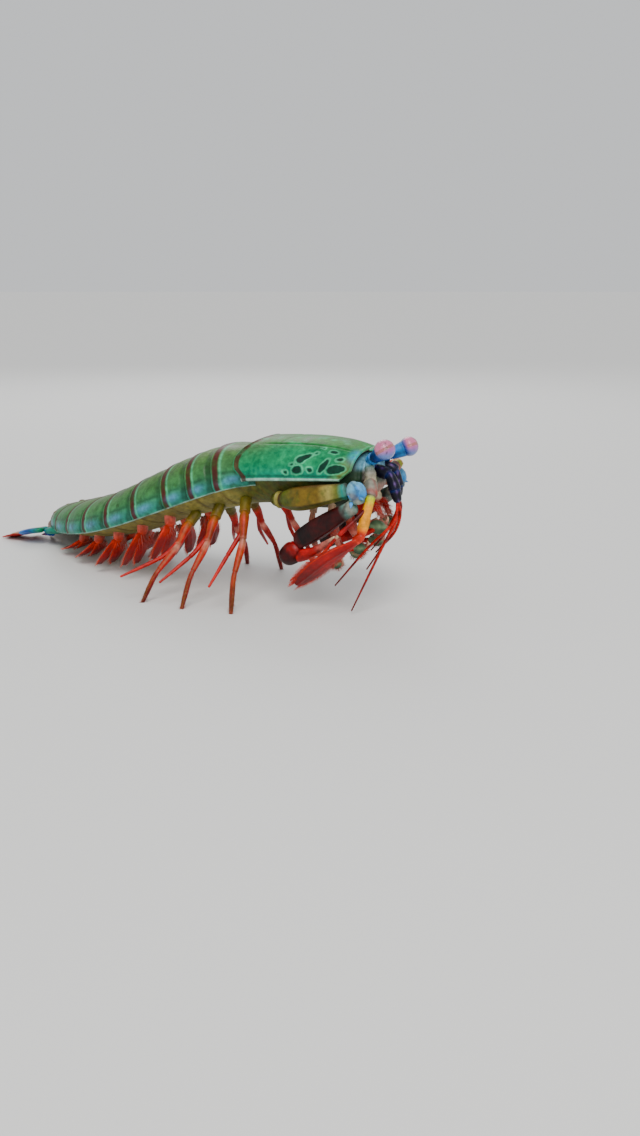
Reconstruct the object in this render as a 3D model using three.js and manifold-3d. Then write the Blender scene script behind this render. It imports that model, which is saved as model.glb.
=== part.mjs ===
// A life-size still model of a peacock mantis shrimp, 150 mm from rostrum to telson.
// It stands on its six walking legs and the rear of its telson, with its head raised and
// its tail swung a little to its left, as an animal that looks out of its burrow.
// Units are millimetres. +X is forward at the head, +Y is the animal's left, +Z is up.
import * as THREE from "three";
import { mergeVertices } from "three/addons/utils/BufferGeometryUtils.js";
import Module from "manifold-3d";

const wasm = await Module();
wasm.setup();

// Driving dimensions. A station is a distance back along the body from the carapace's
// front margin, and heights on the body are measured from the level of the shell's rims.
const gap = 0.3;
const carapaceLength = 32;
const shellThickness = 0.9;
const thoraxEnd = 54;
const abdomenEnd = 122.3;
const telsonEnd = 145.5;
const tailSwing = 36;
const rimToFloorAtTail = 1.35;
const bodyPitch = [[-10, 3], [26, 5], [40, 20], [64, 23], [92, 13], [114, 7], [124, 11], [146, 17]];

// Cross-sections of the body: [station, size].
const carapaceHalfWidth = table([[-1, 10.2], [8, 11.5], [20, 12.9], [35, 13.6]]);
const carapaceHeight = table([[-1, 6.7], [2.5, 8], [7, 9.1], [15, 9.9], [35, 10.2]]);
const coreHalfWidth = table([[-4, 3.6], [-2, 5.2], [1, 7], [7, 8.4], [16, 9.4], [27, 10]]);
const coreHeight = table([[-4, 3.1], [-2, 4.6], [1, 5.8], [7, 7.7], [15, 8.5], [27, 8.7]]);
const coreDepth = table([[-4, 1.6], [-2, 4], [1, 6.6], [7, 8.2], [16, 8.4], [27, 7.8]]);
const bodyHalfWidth = table([
  [27, 11], [34, 11.6], [38, 12.9], [54, 14], [70, 15], [92, 15.4], [112, 14.6], [123, 13],
]);
const bodyHeight = table([[27, 8.3], [34, 8.9], [38, 9.8], [54, 9.9], [75, 9], [100, 8.3], [123, 6.4]]);
const bodyDepth = table([[27, 7.6], [40, 7], [54, 5.4], [62, 4.4], [123, 3.6]]);

// The telson's sizes by share of its length, and its keels: [distance from the middle, height].
const telsonHalfWidth = table([[0, 9.8], [0.14, 11.4], [0.45, 11.6], [0.8, 9.4], [1, 7.4]]);
const telsonWidest = 11.6;
const telsonDome = table([[0, 4.7], [0.35, 3.7], [0.7, 2.1], [1, 1.4]]);
const telsonUnderside = 1.3;
const keels = [[0, 0.95], [3.1, 0.6], [6.2, 0.6], [9.4, 0.5]];
const keelWidth = 0.75;

// Small parts: radii of an eye across and along its stalk, thickness of the feelers and of
// the last ring's spines.
const eyeRadii = [2.6, 2.35, 2.5];
const feelerThickness = 0.38;
const ringSpineRadius = 0.8;
const edgeSpineRadius = 0.42;

// Smooth interpolation through rows of [place, size].
function table(rows) {
  const slope = (i) => {
    const before = rows[Math.max(i - 1, 0)];
    const after = rows[Math.min(i + 1, rows.length - 1)];
    return (after[1] - before[1]) / (after[0] - before[0]);
  };
  return (x) => {
    const at = THREE.MathUtils.clamp(x, rows[0][0], rows[rows.length - 1][0]);
    let i = 0;
    while (i < rows.length - 2 && at > rows[i + 1][0]) i++;
    const span = rows[i + 1][0] - rows[i][0];
    const t = (at - rows[i][0]) / span;
    const rise = rows[i + 1][1] - rows[i][1];
    const a = slope(i) * span - rise;
    const b = -slope(i + 1) * span + rise;
    return rows[i][1] + t * rise + t * (1 - t) * ((1 - t) * a + t * b);
  };
}

const vector = (x, y, z) => new THREE.Vector3(x, y, z);
const smooth = (x, from, to) => THREE.MathUtils.smoothstep(x, from, to);

// The body's reference line, by steps back from its front end.
const firstStation = -10;
const step = 0.5;
const pitchAt = table(bodyPitch);
const spine = [];
for (let s = firstStation, at = vector(-firstStation, 0, 0); s <= telsonEnd + 4; s += step) {
  const yaw = -THREE.MathUtils.degToRad(tailSwing) * smooth(s, 28, 120);
  const pitch = THREE.MathUtils.degToRad(pitchAt(s));
  const forward = vector(
    Math.cos(yaw) * Math.cos(pitch),
    Math.sin(yaw) * Math.cos(pitch),
    Math.sin(pitch),
  );
  const left = vector(-Math.sin(yaw), Math.cos(yaw), 0);
  spine.push({ at: at.clone(), forward, left, up: forward.clone().cross(left) });
  at.addScaledVector(forward, -step);
}
const spineIndex = (s) => Math.round((s - firstStation) / step);
const rimHeight = rimToFloorAtTail - spine[spineIndex(telsonEnd)].at.z;

// A point given by its station, its distance to the left and its height above the rims.
function bodyPoint(s, across, up) {
  const exact = (s - firstStation) / step;
  const i = THREE.MathUtils.clamp(Math.floor(exact), 0, spine.length - 2);
  const [a, b] = [spine[i], spine[i + 1]];
  const t = exact - i;
  return a.at.clone().lerp(b.at, t)
    .addScaledVector(a.left.clone().lerp(b.left, t), across)
    .addScaledVector(a.up.clone().lerp(b.up, t), up)
    .add(vector(0, 0, rimHeight));
}

// A point near the head, by its distance forward, to the left and above the rims.
const headPoint = (forward, left, up) => vector(forward, left, rimHeight + up);

// A closed three.js geometry as a solid.
function solid(geometry) {
  geometry.deleteAttribute("normal");
  geometry.deleteAttribute("uv");
  const merged = mergeVertices(geometry, 1e-4);
  const triVerts = new Uint32Array(merged.index.array);
  const vertProperties = new Float32Array(merged.attributes.position.array);
  const make = () => new wasm.Manifold(new wasm.Mesh({ numProp: 3, vertProperties, triVerts }));
  const made = make();
  if (made.volume() > 0) return made;
  for (let i = 0; i < triVerts.length; i += 3) {
    [triVerts[i], triVerts[i + 1]] = [triVerts[i + 1], triVerts[i]];
  }
  return make();
}

// A closed skin of rings: pointAt(ring, turn) gives a point of ring 0 to rings - 1.
// Both ends are closed flat, at the middle of the end rings.
function skin(pointAt, rings, around) {
  const geometry = new THREE.SphereGeometry(1, around, rings + 1);
  const position = geometry.getAttribute("position");
  const middle = (ring) => {
    const sum = vector(0, 0, 0);
    for (let i = 0; i < around; i++) sum.add(pointAt(ring, (i / around) * 2 * Math.PI));
    return sum.divideScalar(around);
  };
  const ends = [middle(0), middle(rings - 1)];
  for (let i = 0; i < position.count; i++) {
    const row = Math.floor(i / (around + 1));
    const turn = (((i % (around + 1)) % around) / around) * 2 * Math.PI;
    let p = ends[row === 0 ? 0 : 1];
    if (row > 0 && row <= rings) p = pointAt(row - 1, turn);
    position.setXYZ(i, p.x, p.y, p.z);
  }
  return solid(geometry);
}

// A curved plate: pointAt(u, v, face) gives a point of its outer face, 0, or inner face, 1.
function plate(pointAt, countU, countV) {
  const points = [];
  const index = [];
  const id = (i, j, face) => (face * (countU + 1) + i) * (countV + 1) + j;
  for (const face of [0, 1]) {
    for (let i = 0; i <= countU; i++) {
      for (let j = 0; j <= countV; j++) points.push(pointAt(i / countU, j / countV, face));
    }
  }
  const quad = (a, b, c, d) => index.push(a, b, c, a, c, d);
  for (let i = 0; i < countU; i++) {
    for (let j = 0; j < countV; j++) {
      quad(id(i, j, 0), id(i + 1, j, 0), id(i + 1, j + 1, 0), id(i, j + 1, 0));
      index.push(id(i, j, 1), id(i + 1, j + 1, 1), id(i + 1, j, 1));
      index.push(id(i, j, 1), id(i, j + 1, 1), id(i + 1, j + 1, 1));
    }
    quad(id(i, 0, 0), id(i, 0, 1), id(i + 1, 0, 1), id(i + 1, 0, 0));
    quad(id(i + 1, countV, 0), id(i + 1, countV, 1), id(i, countV, 1), id(i, countV, 0));
  }
  for (let j = 0; j < countV; j++) {
    quad(id(0, j + 1, 0), id(0, j + 1, 1), id(0, j, 1), id(0, j, 0));
    quad(id(countU, j, 0), id(countU, j, 1), id(countU, j + 1, 1), id(countU, j + 1, 0));
  }
  return solid(new THREE.BufferGeometry().setFromPoints(points).setIndex(index));
}

// A limb, feeler or paddle along a path. size rows are [share of the length, half width,
// half thickness], and wide is the direction of its width.
function limb(path, size, options = {}, grow = 0) {
  const { wide = vector(0, 0, 1), rings = 8, sides = 8, tension = 0.35 } = options;
  const curve = new THREE.CatmullRomCurve3(path, false, "catmullrom", tension);
  const halfWidth = table(size.map(([t, width]) => [t, width]));
  const halfThickness = table(size.map(([t, width, thickness = width]) => [t, thickness]));
  const frames = [];
  for (let ring = 0; ring < rings; ring++) {
    const t = ring / (rings - 1);
    const along = curve.getTangentAt(t);
    const across = wide.clone().addScaledVector(along, -wide.dot(along)).normalize();
    const at = curve.getPointAt(t).addScaledVector(along, grow * (2 * t - 1));
    frames.push({ at, across, other: along.clone().cross(across), t });
  }
  const pointAt = (ring, turn) => {
    const { at, across, other, t } = frames[ring];
    return at.clone()
      .addScaledVector(across, Math.cos(turn) * (halfWidth(t) + grow))
      .addScaledVector(other, Math.sin(turn) * (halfThickness(t) + grow));
  };
  return skin(pointAt, rings, sides);
}

function spike(base, tip, radius, sides = 5) {
  const height = base.distanceTo(tip);
  const geometry = new THREE.CylinderGeometry(radius * 0.18, radius, height, sides);
  geometry.translate(0, height / 2, 0);
  const direction = tip.clone().sub(base).normalize();
  geometry.applyQuaternion(new THREE.Quaternion().setFromUnitVectors(vector(0, 1, 0), direction));
  geometry.translate(base.x, base.y, base.z);
  return solid(geometry);
}

function ellipsoid(centre, radii, axis, around = 14, rings = 10) {
  const geometry = new THREE.SphereGeometry(1, around, rings);
  geometry.scale(radii.x, radii.y, radii.z);
  geometry.applyQuaternion(new THREE.Quaternion().setFromUnitVectors(vector(0, 1, 0), axis));
  geometry.translate(centre.x, centre.y, centre.z);
  return solid(geometry);
}

const fuse = (...pieces) => pieces.reduce((whole, piece) => whole.add(piece));
const less = (whole, ...cutters) => cutters.reduce((rest, cutter) => rest.subtract(cutter), whole);

const root = new THREE.Group();
const floorBox = new THREE.BoxGeometry(600, 600, 40);
floorBox.translate(0, 0, -20);
const floor = solid(floorBox);

// Keeps a solid's largest closed surface above the floor and adds it as a named mesh.
function add(name, shape, { color, roughness = 0.4 }) {
  const pieces = shape.subtract(floor).decompose();
  const whole = pieces.reduce((best, piece) => (piece.volume() > best.volume() ? piece : best));
  const mesh = whole.getMesh();
  const geometry = new THREE.BufferGeometry();
  geometry.setAttribute("position", new THREE.BufferAttribute(mesh.vertProperties, 3));
  geometry.setIndex(new THREE.BufferAttribute(mesh.triVerts, 1));
  const material = new THREE.MeshStandardMaterial({ color, roughness, metalness: 0 });
  const node = new THREE.Mesh(geometry, material);
  node.name = name;
  root.add(node);
  return whole;
}

const finishes = {
  green: { color: 0x2f8a5c },
  olive: { color: 0x5d7a45 },
  paleBlue: { color: 0x86a9c4 },
  navy: { color: 0x22304f },
  eyePink: { color: 0xc08fa0, roughness: 0.2 },
  yellow: { color: 0xd9a92b },
  red: { color: 0xc4301c },
  maroon: { color: 0x6e1f1c },
  cream: { color: 0xcfc6ae },
};
const sidesOfBody = [["right", -1], ["left", 1]];

// Power-law cosine and sine, for full, flat-shouldered sections.
const bent = (x, power) => Math.sign(x) * Math.abs(x) ** power;

// A closed length of body between two stations. Its shell widens towards its rear edge.
function bodyLength(from, to, width, height, depth, options = {}, grow = 0) {
  const { rings = 5, around = 20, flare = 0.045 } = options;
  const pointAt = (ring, turn) => {
    const share = ring / (rings - 1);
    const s = from - grow + (to - from + 2 * grow) * share;
    const scale = 1 - flare * (1 - smooth(share, 0, 0.5));
    const across = (width(s) * scale + grow) * bent(Math.cos(turn), 0.8);
    const rise = Math.sin(turn);
    const up = rise > 0
      ? (height(s) * scale + grow) * bent(rise, 0.85)
      : (depth(s) + grow) * bent(rise, 1.5);
    return bodyPoint(s, across, up);
  };
  return skin(pointAt, rings, around);
}

// Head and the body under the carapace.
const headCore = (grow = 0) =>
  bodyLength(-4, 27, coreHalfWidth, coreHeight, coreDepth, { rings: 9, around: 18, flare: 0 }, grow);

// The carapace is a thin shield with rounded corners and a hollowed rear edge.
const carapaceFront = (v) => v * v + 2 * smooth(Math.abs(v), 0.8, 1);
const carapaceRear = (v) =>
  carapaceLength - 4.5 * (1 - smooth(Math.abs(v), 0, 0.75)) - 2 * smooth(Math.abs(v), 0.8, 1);
const carapace = plate((u, v, face) => {
  const side = 2 * v - 1;
  const s = carapaceFront(side) + (carapaceRear(side) - carapaceFront(side)) * u;
  const inward = face * shellThickness;
  const turn = side * (Math.PI / 2);
  const across = (carapaceHalfWidth(s) - inward) * bent(Math.sin(turn), 0.82);
  const up = (carapaceHeight(s) - inward) * bent(Math.cos(turn), 0.8);
  return bodyPoint(s, across, up);
}, 9, 18);
add("carapace", carapace, finishes.green);

const rostrum = limb(
  [headPoint(0.5, 0, 6.5), headPoint(2.8, 0, 6.4), headPoint(5.2, 0, 5.6)],
  [[0, 4.6, 0.6], [0.35, 3.9, 0.7], [0.75, 2.3, 0.6], [1, 0.7, 0.3]],
  { wide: vector(0, 1, 0), rings: 6, sides: 10 },
);
add("rostrum", rostrum, finishes.green);
add("head", headCore(), finishes.olive);

// Thorax and abdomen.
const thoraxStations = [27, 38.4, 46, thoraxEnd];
const abdomenStations = [thoraxEnd, 64.8, 75.8, 87, 98.6, 110.6, abdomenEnd];
const bodyLengths = (stations) => stations.slice(1).map((to, i) => (grow = 0) =>
  bodyLength(stations[i] + gap, to, bodyHalfWidth, bodyHeight, bodyDepth, {}, grow));
const thorax = bodyLengths(thoraxStations);
const abdomen = bodyLengths(abdomenStations);
thorax.forEach((make, i) => add(`thorax_${i + 6}`, make(), finishes.green));
abdomen.slice(0, 5).forEach((make, i) => add(`abdomen_${i + 1}`, make(), finishes.green));

// The last length of the abdomen carries keels that end in backward spines.
const lastSpines = [-11.4, -7.4, -3, 3, 7.4, 11.4].map((across) => {
  const arch = Math.sqrt(1 - (across / 13.4) ** 2);
  return spike(
    bodyPoint(abdomenEnd - 6, across, 6.8 * arch - 0.4),
    bodyPoint(abdomenEnd + 1.6, across * 1.02, 6.4 * arch),
    ringSpineRadius,
    6,
  );
});

// Eyes on their stalks.
for (const [side, y] of sidesOfBody) {
  const centre = side === "right" ? headPoint(7, -7.6, 7.4) : headPoint(7.4, 7, 6.4);
  const socket = headPoint(0.8, 3.2 * y, 3.6);
  const axis = centre.clone().sub(socket).normalize();
  const eye = (grow) => ellipsoid(centre, vector(...eyeRadii.map((r) => r + grow)), axis, 12, 10);
  const stalk = limb(
    [socket, socket.clone().lerp(centre, 0.45).add(vector(0, 0, -0.2)), centre],
    [[0, 1.3], [0.4, 1.5], [0.75, 1.95], [1, 2.1]],
    { rings: 6 },
  );
  add(`eye_stalk_${side}`, less(stalk, headCore(gap), eye(gap)), finishes.paleBlue);
  add(`eye_${side}`, eye(0), finishes.eyePink);
}

// Antennules: a jointed peduncle with three feelers.
const feelerSize = (thickness) => [[0, thickness], [0.6, thickness * 0.85], [1, thickness * 0.55]];
const antennulePoses = {
  right: {
    peduncle: [[1.5, -2.3, 1.6], [6.4, -2.8, 0.2], [8.9, -3.2, -6.2]],
    feelers: [
      [[8.8, -3.2, -5.8], [8.4, -3.6, -11], [5.8, -4.6, -16.8], [-0.9, -9, -33.8]],
      [[8.8, -3.2, -5.8], [8.2, -4.4, -11], [2, -6.5, -18], [-6, -8, -28]],
      [[8.8, -3.2, -5.8], [9.2, -2.4, -9.5], [7, -1.1, -14.5], [2, -0.9, -20]],
    ],
  },
  left: {
    peduncle: [[1.5, 2.3, 1.6], [5.2, 3.1, 0.4], [6.4, 3, -6]],
    feelers: [
      [[6.3, 3, -5.6], [6.2, 4.8, -10.5], [2.2, 6, -18], [-4, 7, -27]],
      [[6.3, 3, -5.6], [5.8, 5.8, -10], [0, 8, -16.5], [-8, 10, -23]],
      [[6.3, 3, -5.6], [6.4, 1.8, -9.5], [4, 0.5, -15], [0, 0.6, -20]],
    ],
  },
};
for (const [side] of sidesOfBody) {
  const { peduncle, feelers } = antennulePoses[side];
  const stem = limb(
    peduncle.map((p) => headPoint(...p)),
    [[0, 1.5], [0.3, 1.6], [0.42, 1.25], [0.7, 1.45], [1, 0.9]],
    { rings: 8, sides: 8 },
  );
  const threads = feelers.map((path) => limb(
    path.map((p) => headPoint(...p)),
    feelerSize(feelerThickness),
    { rings: 8, sides: 5, tension: 0.5 },
  ));
  add(`antennule_${side}`, less(fuse(stem, ...threads), headCore(gap)), finishes.navy);
}

// Antennae: a stout base, a thin feeler and an oval scale.
const antennaPoses = {
  right: {
    base: [[2.5, -5.5, -0.8], [4.2, -9.4, -4], [3.3, -13.1, -13.4]],
    feeler: [
      [4.2, -10.6, -6.5], [1.5, -14.6, -10], [-1, -16.6, -12.8], [-6.6, -18, -19.6], [-14, -17, -25.5],
    ],
    scale: [[3.2, -13.4, -14], [-4.4, -16, -19.4], [-12.1, -17.6, -26.2]],
    width: [0.1, -0.7, 0.7],
  },
  left: {
    base: [[2, 5.5, -0.4], [3.2, 10.2, 1.2], [0.2, 15.4, 0.4]],
    feeler: [[2.2, 12.6, 1.2], [-1, 17.4, 1.8], [-6, 19.6, 0.4], [-14, 21.6, -4.6], [-22, 22, -10.5]],
    scale: [[-0.2, 15.9, 0.2], [-9, 18.6, -2.4], [-19.6, 20, -6.6]],
    width: [0, 0.45, 0.9],
  },
};
for (const [side] of sidesOfBody) {
  const { base, feeler, scale, width } = antennaPoses[side];
  const stem = limb(
    base.map((p) => headPoint(...p)),
    [[0, 1.6], [0.3, 1.5], [0.5, 1.15], [0.85, 1.35], [1, 0.9]],
    { rings: 9 },
  );
  const thread = limb(
    feeler.map((p) => headPoint(...p)),
    [[0, 0.75], [0.3, 0.7], [0.38, 0.42], [1, 0.28]],
    { rings: 11, sides: 6, tension: 0.5 },
  );
  const blade = (grow) => limb(
    scale.map((p) => headPoint(...p)),
    [[0, 0.9, 0.7], [0.15, 1.6, 0.6], [0.4, 2.7, 0.5], [0.65, 3.2, 0.45], [0.88, 2.3, 0.35], [1, 0.8, 0.28]],
    { rings: 11, sides: 10, wide: vector(...width) },
    grow,
  );
  add(`antenna_${side}`, less(fuse(stem, thread), headCore(gap), blade(gap)), finishes.yellow);
  add(`antennal_scale_${side}`, blade(0), finishes.red);
}

// Mouthparts under the head.
const mouth = ellipsoid(headPoint(0.6, 0, -7.2), vector(3.6, 3, 3.2), vector(1, 0, -0.25).normalize(), 10, 8);
add("mouthparts", less(mouth, headCore(gap)), finishes.cream);

// Striking arms, folded: merus, carpus, propodus, and the dactyl with its club.
for (const [side, y] of sidesOfBody) {
  const at = (forward, out, up) => headPoint(forward, out * y, up);
  const merus = (grow) => limb(
    [at(-23, 9.4, -7), at(-13, 12.4, -5.6), at(-0.2, 12.6, -2.5)],
    [[0, 1.6, 1.5], [0.18, 2.6, 2], [0.5, 3, 2.2], [0.85, 2, 1.8], [1, 1.3, 1.2]],
    { rings: 8, sides: 10 },
    grow,
  );
  const carpus = (grow) => limb(
    [at(-0.4, 12.6, -1.6), at(1.8, 12.7, -2.4), at(2, 12.5, -5.6)],
    [[0, 1.4, 1.3], [0.45, 1.9, 1.7], [1, 1.4, 1.3]],
    { rings: 6, sides: 8, wide: vector(0, 0, 1).add(vector(1, 0, 0)) },
    grow,
  );
  const propodus = (grow) => limb(
    [at(1.7, 12.5, -5.8), at(-6.4, 12.4, -11.4), at(-15.4, 11, -17.2)],
    [[0, 1.4, 1.3], [0.2, 2, 1.8], [0.6, 2.7, 2], [0.9, 2.4, 1.8], [1, 1.6, 1.4]],
    { rings: 8, sides: 10 },
    grow,
  );
  const heel = ellipsoid(at(-16.4, 11.2, -19.8), vector(2.5, 3.3, 2.9), vector(-0.8, 0, -0.6), 12, 8);
  const finger = limb(
    [at(-15.4, 11.4, -20.6), at(-10, 12.2, -18.8), at(-3.6, 12.9, -14.2)],
    [[0, 1.8, 1.5], [0.5, 1.15, 1.05], [1, 0.3, 0.3]],
    { rings: 6, sides: 8 },
  );
  const blocks = [headCore(gap)];
  add(`striking_arm_merus_${side}`, less(merus(0), ...blocks, carpus(gap), propodus(gap)), finishes.olive);
  add(`striking_arm_carpus_${side}`, less(carpus(0), propodus(gap)), finishes.paleBlue);
  add(`striking_arm_propodus_${side}`, propodus(0), finishes.maroon);
  add(`striking_arm_club_${side}`, less(fuse(heel, finger), propodus(gap)), finishes.red);
}

// Three pairs of small maxillipeds, each with a round, flat hand and a short hook.
const maxillipeds = [
  { number: 3, root: [-4, 3.4], elbow: [-1.4, 4.6, -15.4], hand: [3.6, 3, -12.8], size: 2.5 },
  { number: 4, root: [-8.5, 4.2], elbow: [-5.5, 5.8, -18.5], hand: [-0.5, 5.2, -18.2], size: 2.1 },
  { number: 5, root: [-13, 4.8], elbow: [-11.5, 6.4, -20.5], hand: [-6.6, 6.2, -22.6], size: 1.8 },
];
for (const [side, y] of sidesOfBody) {
  for (const { number, root: [back, out], elbow, hand, size } of maxillipeds) {
    const hip = headPoint(back, out * y, -6.5);
    const knee = headPoint(elbow[0], elbow[1] * y, elbow[2]);
    const palm = headPoint(hand[0], hand[1] * y, hand[2]);
    const reach = palm.clone().sub(knee).normalize();
    const arm = limb(
      [hip, hip.clone().lerp(knee, 0.5).add(vector(-1.2, 0.8 * y, 0)), knee, palm],
      [[0, 1.1], [0.3, 0.85], [0.5, 0.95], [0.68, 0.7], [1, 0.75]],
      { rings: 8, sides: 6 },
    );
    const palmAxis = vector(0, 1, 0);
    const disc = ellipsoid(palm, vector(size, 1, size * 0.8), palmAxis, 12, 6);
    const hookBase = palm.clone().addScaledVector(reach, size * 0.75);
    const hook = spike(hookBase, hookBase.clone().add(vector(0.5, 0, 2)), 0.5);
    add(`maxilliped_${number}_${side}`, less(fuse(arm, disc, hook), headCore(gap)), finishes.cream);
  }
}

// Three pairs of walking legs. Each has a base, a slender outer branch and a long inner
// branch of two segments that ends on a small flat on the floor.
const walkingLegs = [
  { number: 1, station: 33.5, knee: [3, 7.5], foot: { right: [4, 15.5], left: [6.5, 14.5] } },
  { number: 2, station: 42, knee: [0, 8], foot: { right: [-2, 17.5], left: [1, 17] } },
  { number: 3, station: 50, knee: [-2, 8], foot: { right: [-7, 17.5], left: [-4.5, 18] } },
];
for (const { number, station, knee: [kneeForward, kneeOut], foot } of walkingLegs) {
  for (const [side, y] of sidesOfBody) {
    const hip = bodyPoint(station, 6.5 * y, -4.5);
    const knee = hip.clone().add(vector(kneeForward, kneeOut * y, -hip.z * 0.4));
    const toe = vector(hip.x + foot[side][0], hip.y + foot[side][1] * y, -0.4);
    const shin = knee.clone().lerp(toe, 0.5).add(vector(0, 1.4 * y, 0.8));
    const inner = limb(
      [hip, hip.clone().lerp(knee, 0.6).add(vector(0, 0, 0.8)), knee, shin, toe],
      [[0, 1.7], [0.22, 1.45], [0.36, 0.95], [0.5, 1.05], [0.68, 0.7], [0.85, 0.72], [1, 0.45]],
      { rings: 12, sides: 7 },
    );
    const outer = limb(
      [
        hip.clone().lerp(knee, 0.7),
        knee.clone().add(vector(-2.5, 2.4 * y, -2)),
        toe.clone().add(vector(-5.5, 1.5 * y, 7)),
      ],
      [[0, 0.7], [0.5, 0.55], [1, 0.3]],
      { rings: 5, sides: 5 },
    );
    const blocks = thorax.map((make) => make(gap));
    add(`walking_leg_${number}_${side}`, less(fuse(inner, outer), headCore(gap), ...blocks), finishes.red);
  }
}

// Five pairs of swimming legs under the abdomen: two overlapping paddles on a short stem.
for (let number = 1; number <= 5; number++) {
  const station = (abdomenStations[number - 1] + abdomenStations[number]) / 2 - 1;
  for (const [side, y] of sidesOfBody) {
    const depth = bodyDepth(station);
    const room = bodyPoint(station + 7, 0, 0).z - depth - 1.6;
    const drop = Math.min(room, 8.5);
    const hip = bodyPoint(station, 7.4 * y, -1.5);
    const stem = limb(
      [hip, bodyPoint(station + 1, 8.2 * y, -depth - 1.4)],
      [[0, 2.2, 1.4], [1, 1.9, 1]],
      { rings: 3, sides: 8, wide: vector(0, 1, 0) },
    );
    const paddle = (out, back, wide) => limb(
      [
        bodyPoint(station + 0.8, (8.2 + out * 0.2) * y, -depth - 0.6),
        bodyPoint(station + 0.8 + back * 0.55, (8.2 + out * 0.7) * y, -depth - 0.7 - drop * 0.55),
        bodyPoint(station + 0.8 + back, (8.2 + out) * y, 0.2 - depth - drop),
      ],
      [[0, 1.3, 0.5], [0.3, wide * 0.8, 0.5], [0.65, wide, 0.42], [1, wide * 0.4, 0.3]],
      { rings: 5, sides: 6, wide: vector(0, 1, 0) },
    );
    const inner = paddle(-1.8, 7.2, 2.7);
    const outer = paddle(3.4, 6.2, 2.9);
    add(
      `swimming_leg_${number}_${side}`,
      less(fuse(stem, inner, outer), ...abdomen.map((make) => make(gap))),
      finishes.red,
    );
  }
}

// Telson: a broad plate with raised keels and six large teeth on its rear edge.
const telsonLength = telsonEnd - abdomenEnd;
const telson = (grow = 0) => {
  const rings = 9;
  const pointAt = (ring, turn) => {
    const share = ring / (rings - 1);
    const s = abdomenEnd + gap - grow + (telsonLength - gap + 2 * grow) * share;
    const across = (telsonHalfWidth(share) + grow) * bent(Math.cos(turn), 0.9);
    const narrowing = telsonHalfWidth(share) / telsonWidest;
    const keel = keels.reduce((sum, [place, height]) => {
      const off = (Math.abs(across) - place * narrowing) / keelWidth;
      return sum + height * Math.exp(-off * off);
    }, 0) * smooth(share, 0.02, 0.25);
    const rise = Math.sin(turn);
    const above = telsonDome(share) * bent(rise, 0.8) + keel * Math.min(1, rise * 3) + grow;
    const up = rise > 0.001 ? above : rise * (telsonUnderside + grow);
    return bodyPoint(s, across, up - 0.2);
  };
  return skin(pointAt, rings, 28);
};
const telsonTeeth = [[2.6, 3.4, 0.95], [6, 2.6, 0.9], [8.6, 1.4, 0.8]];
const teeth = sidesOfBody.flatMap(([, y]) =>
  telsonTeeth.map(([across, reach, radius], i) => spike(
    bodyPoint(telsonEnd - 2.2 - 2.4 * i, (across + 0.1 * i) * y, 0),
    bodyPoint(telsonEnd + reach - 1.7 * i, (across + 0.5 * i) * y, -0.35),
    radius,
    6,
  )));
add("telson", fuse(telson(), ...teeth), finishes.green);
add("abdomen_6", less(fuse(abdomen[5](), ...lastSpines), telson(gap)), finishes.green);

// Tail fans: a base with two long spines, an outer branch of two segments with movable
// spines on its edge, and an oval inner branch.
for (const [side, y] of sidesOfBody) {
  const at = (s, across, up) => bodyPoint(s, across * y, up);
  const flat = at(130, 1, 0).sub(at(130, 0, 0));
  const base = (grow) => limb(
    [at(117.5, 9.5, -1.6), at(121.5, 12.2, -1.9), at(125.4, 13.6, -2.1)],
    [[0, 1.9, 1.3], [0.5, 2.4, 1.3], [1, 1.9, 1.1]],
    { rings: 5, sides: 8, wide: flat },
    grow,
  );
  const innerSpine = spike(at(123.5, 12.6, -2.9), at(137.5, 10.6, -2.9), 0.9, 6);
  const outerSpine = spike(at(123.5, 13.4, -2.9), at(133.5, 14, -3), 0.8, 6);
  const outerBranch = fuse(
    limb(
      [at(124.2, 15.6, -1.5), at(128.5, 18, -1.6), at(133, 19.6, -1.8)],
      [[0, 1.4, 0.9], [0.4, 2.4, 0.9], [0.9, 2.5, 0.8], [1, 1.9, 0.7]],
      { rings: 6, sides: 8, wide: flat },
    ),
    limb(
      [at(132.4, 19.4, -1.8), at(137, 20.6, -2), at(142.5, 21, -2.3)],
      [[0, 1.4, 0.6], [0.35, 2.7, 0.5], [0.75, 2.7, 0.42], [1, 1, 0.3]],
      { rings: 6, sides: 8, wide: flat },
    ),
    ...Array.from({ length: 9 }, (_, i) => {
      const place = i / 8;
      const from = at(126.6 + 6.4 * place, 18.4 + 2.9 * place, -1.7);
      return spike(from, from.clone().add(at(2.6, 2 + 0.4 * place, 0).sub(at(0, 0, 0))), edgeSpineRadius, 5);
    }),
  );
  const innerBranch = (grow) => limb(
    [at(125.3, 13.7, -1.2), at(131, 15.4, -1.4), at(139.5, 15.2, -1.9)],
    [[0, 1, 0.6], [0.3, 1.9, 0.6], [0.65, 2.2, 0.5], [1, 0.8, 0.3]],
    { rings: 7, sides: 8, wide: flat },
    grow,
  );
  const blocks = [abdomen[5](gap), abdomen[4](gap), telson(gap)];
  add(`tail_fan_base_${side}`, less(fuse(base(0), innerSpine, outerSpine), ...blocks), finishes.green);
  const guard = fuse(base(gap), innerSpine, outerSpine);
  add(`tail_fan_outer_${side}`, less(outerBranch, ...blocks, guard), finishes.red);
  add(`tail_fan_inner_${side}`, less(innerBranch(0), ...blocks, guard, outerBranch), finishes.red);
}

// The origin is on the floor, under the middle of the model's box.
const box = new THREE.Box3().setFromObject(root);
const middle = box.getCenter(vector(0, 0, 0));
root.position.set(-middle.x, -middle.y, -box.min.z);

export default root;
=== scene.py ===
"""The looks of a life-size peacock mantis shrimp, standing with its head raised.

Shapes are worked out in millimetres from the same named sizes as the solids, and become
meshes in metres. A station is a distance back along the body from the carapace's front
margin. Heights on the body are measured from the level of the shell's rims.
"""

import math

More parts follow.
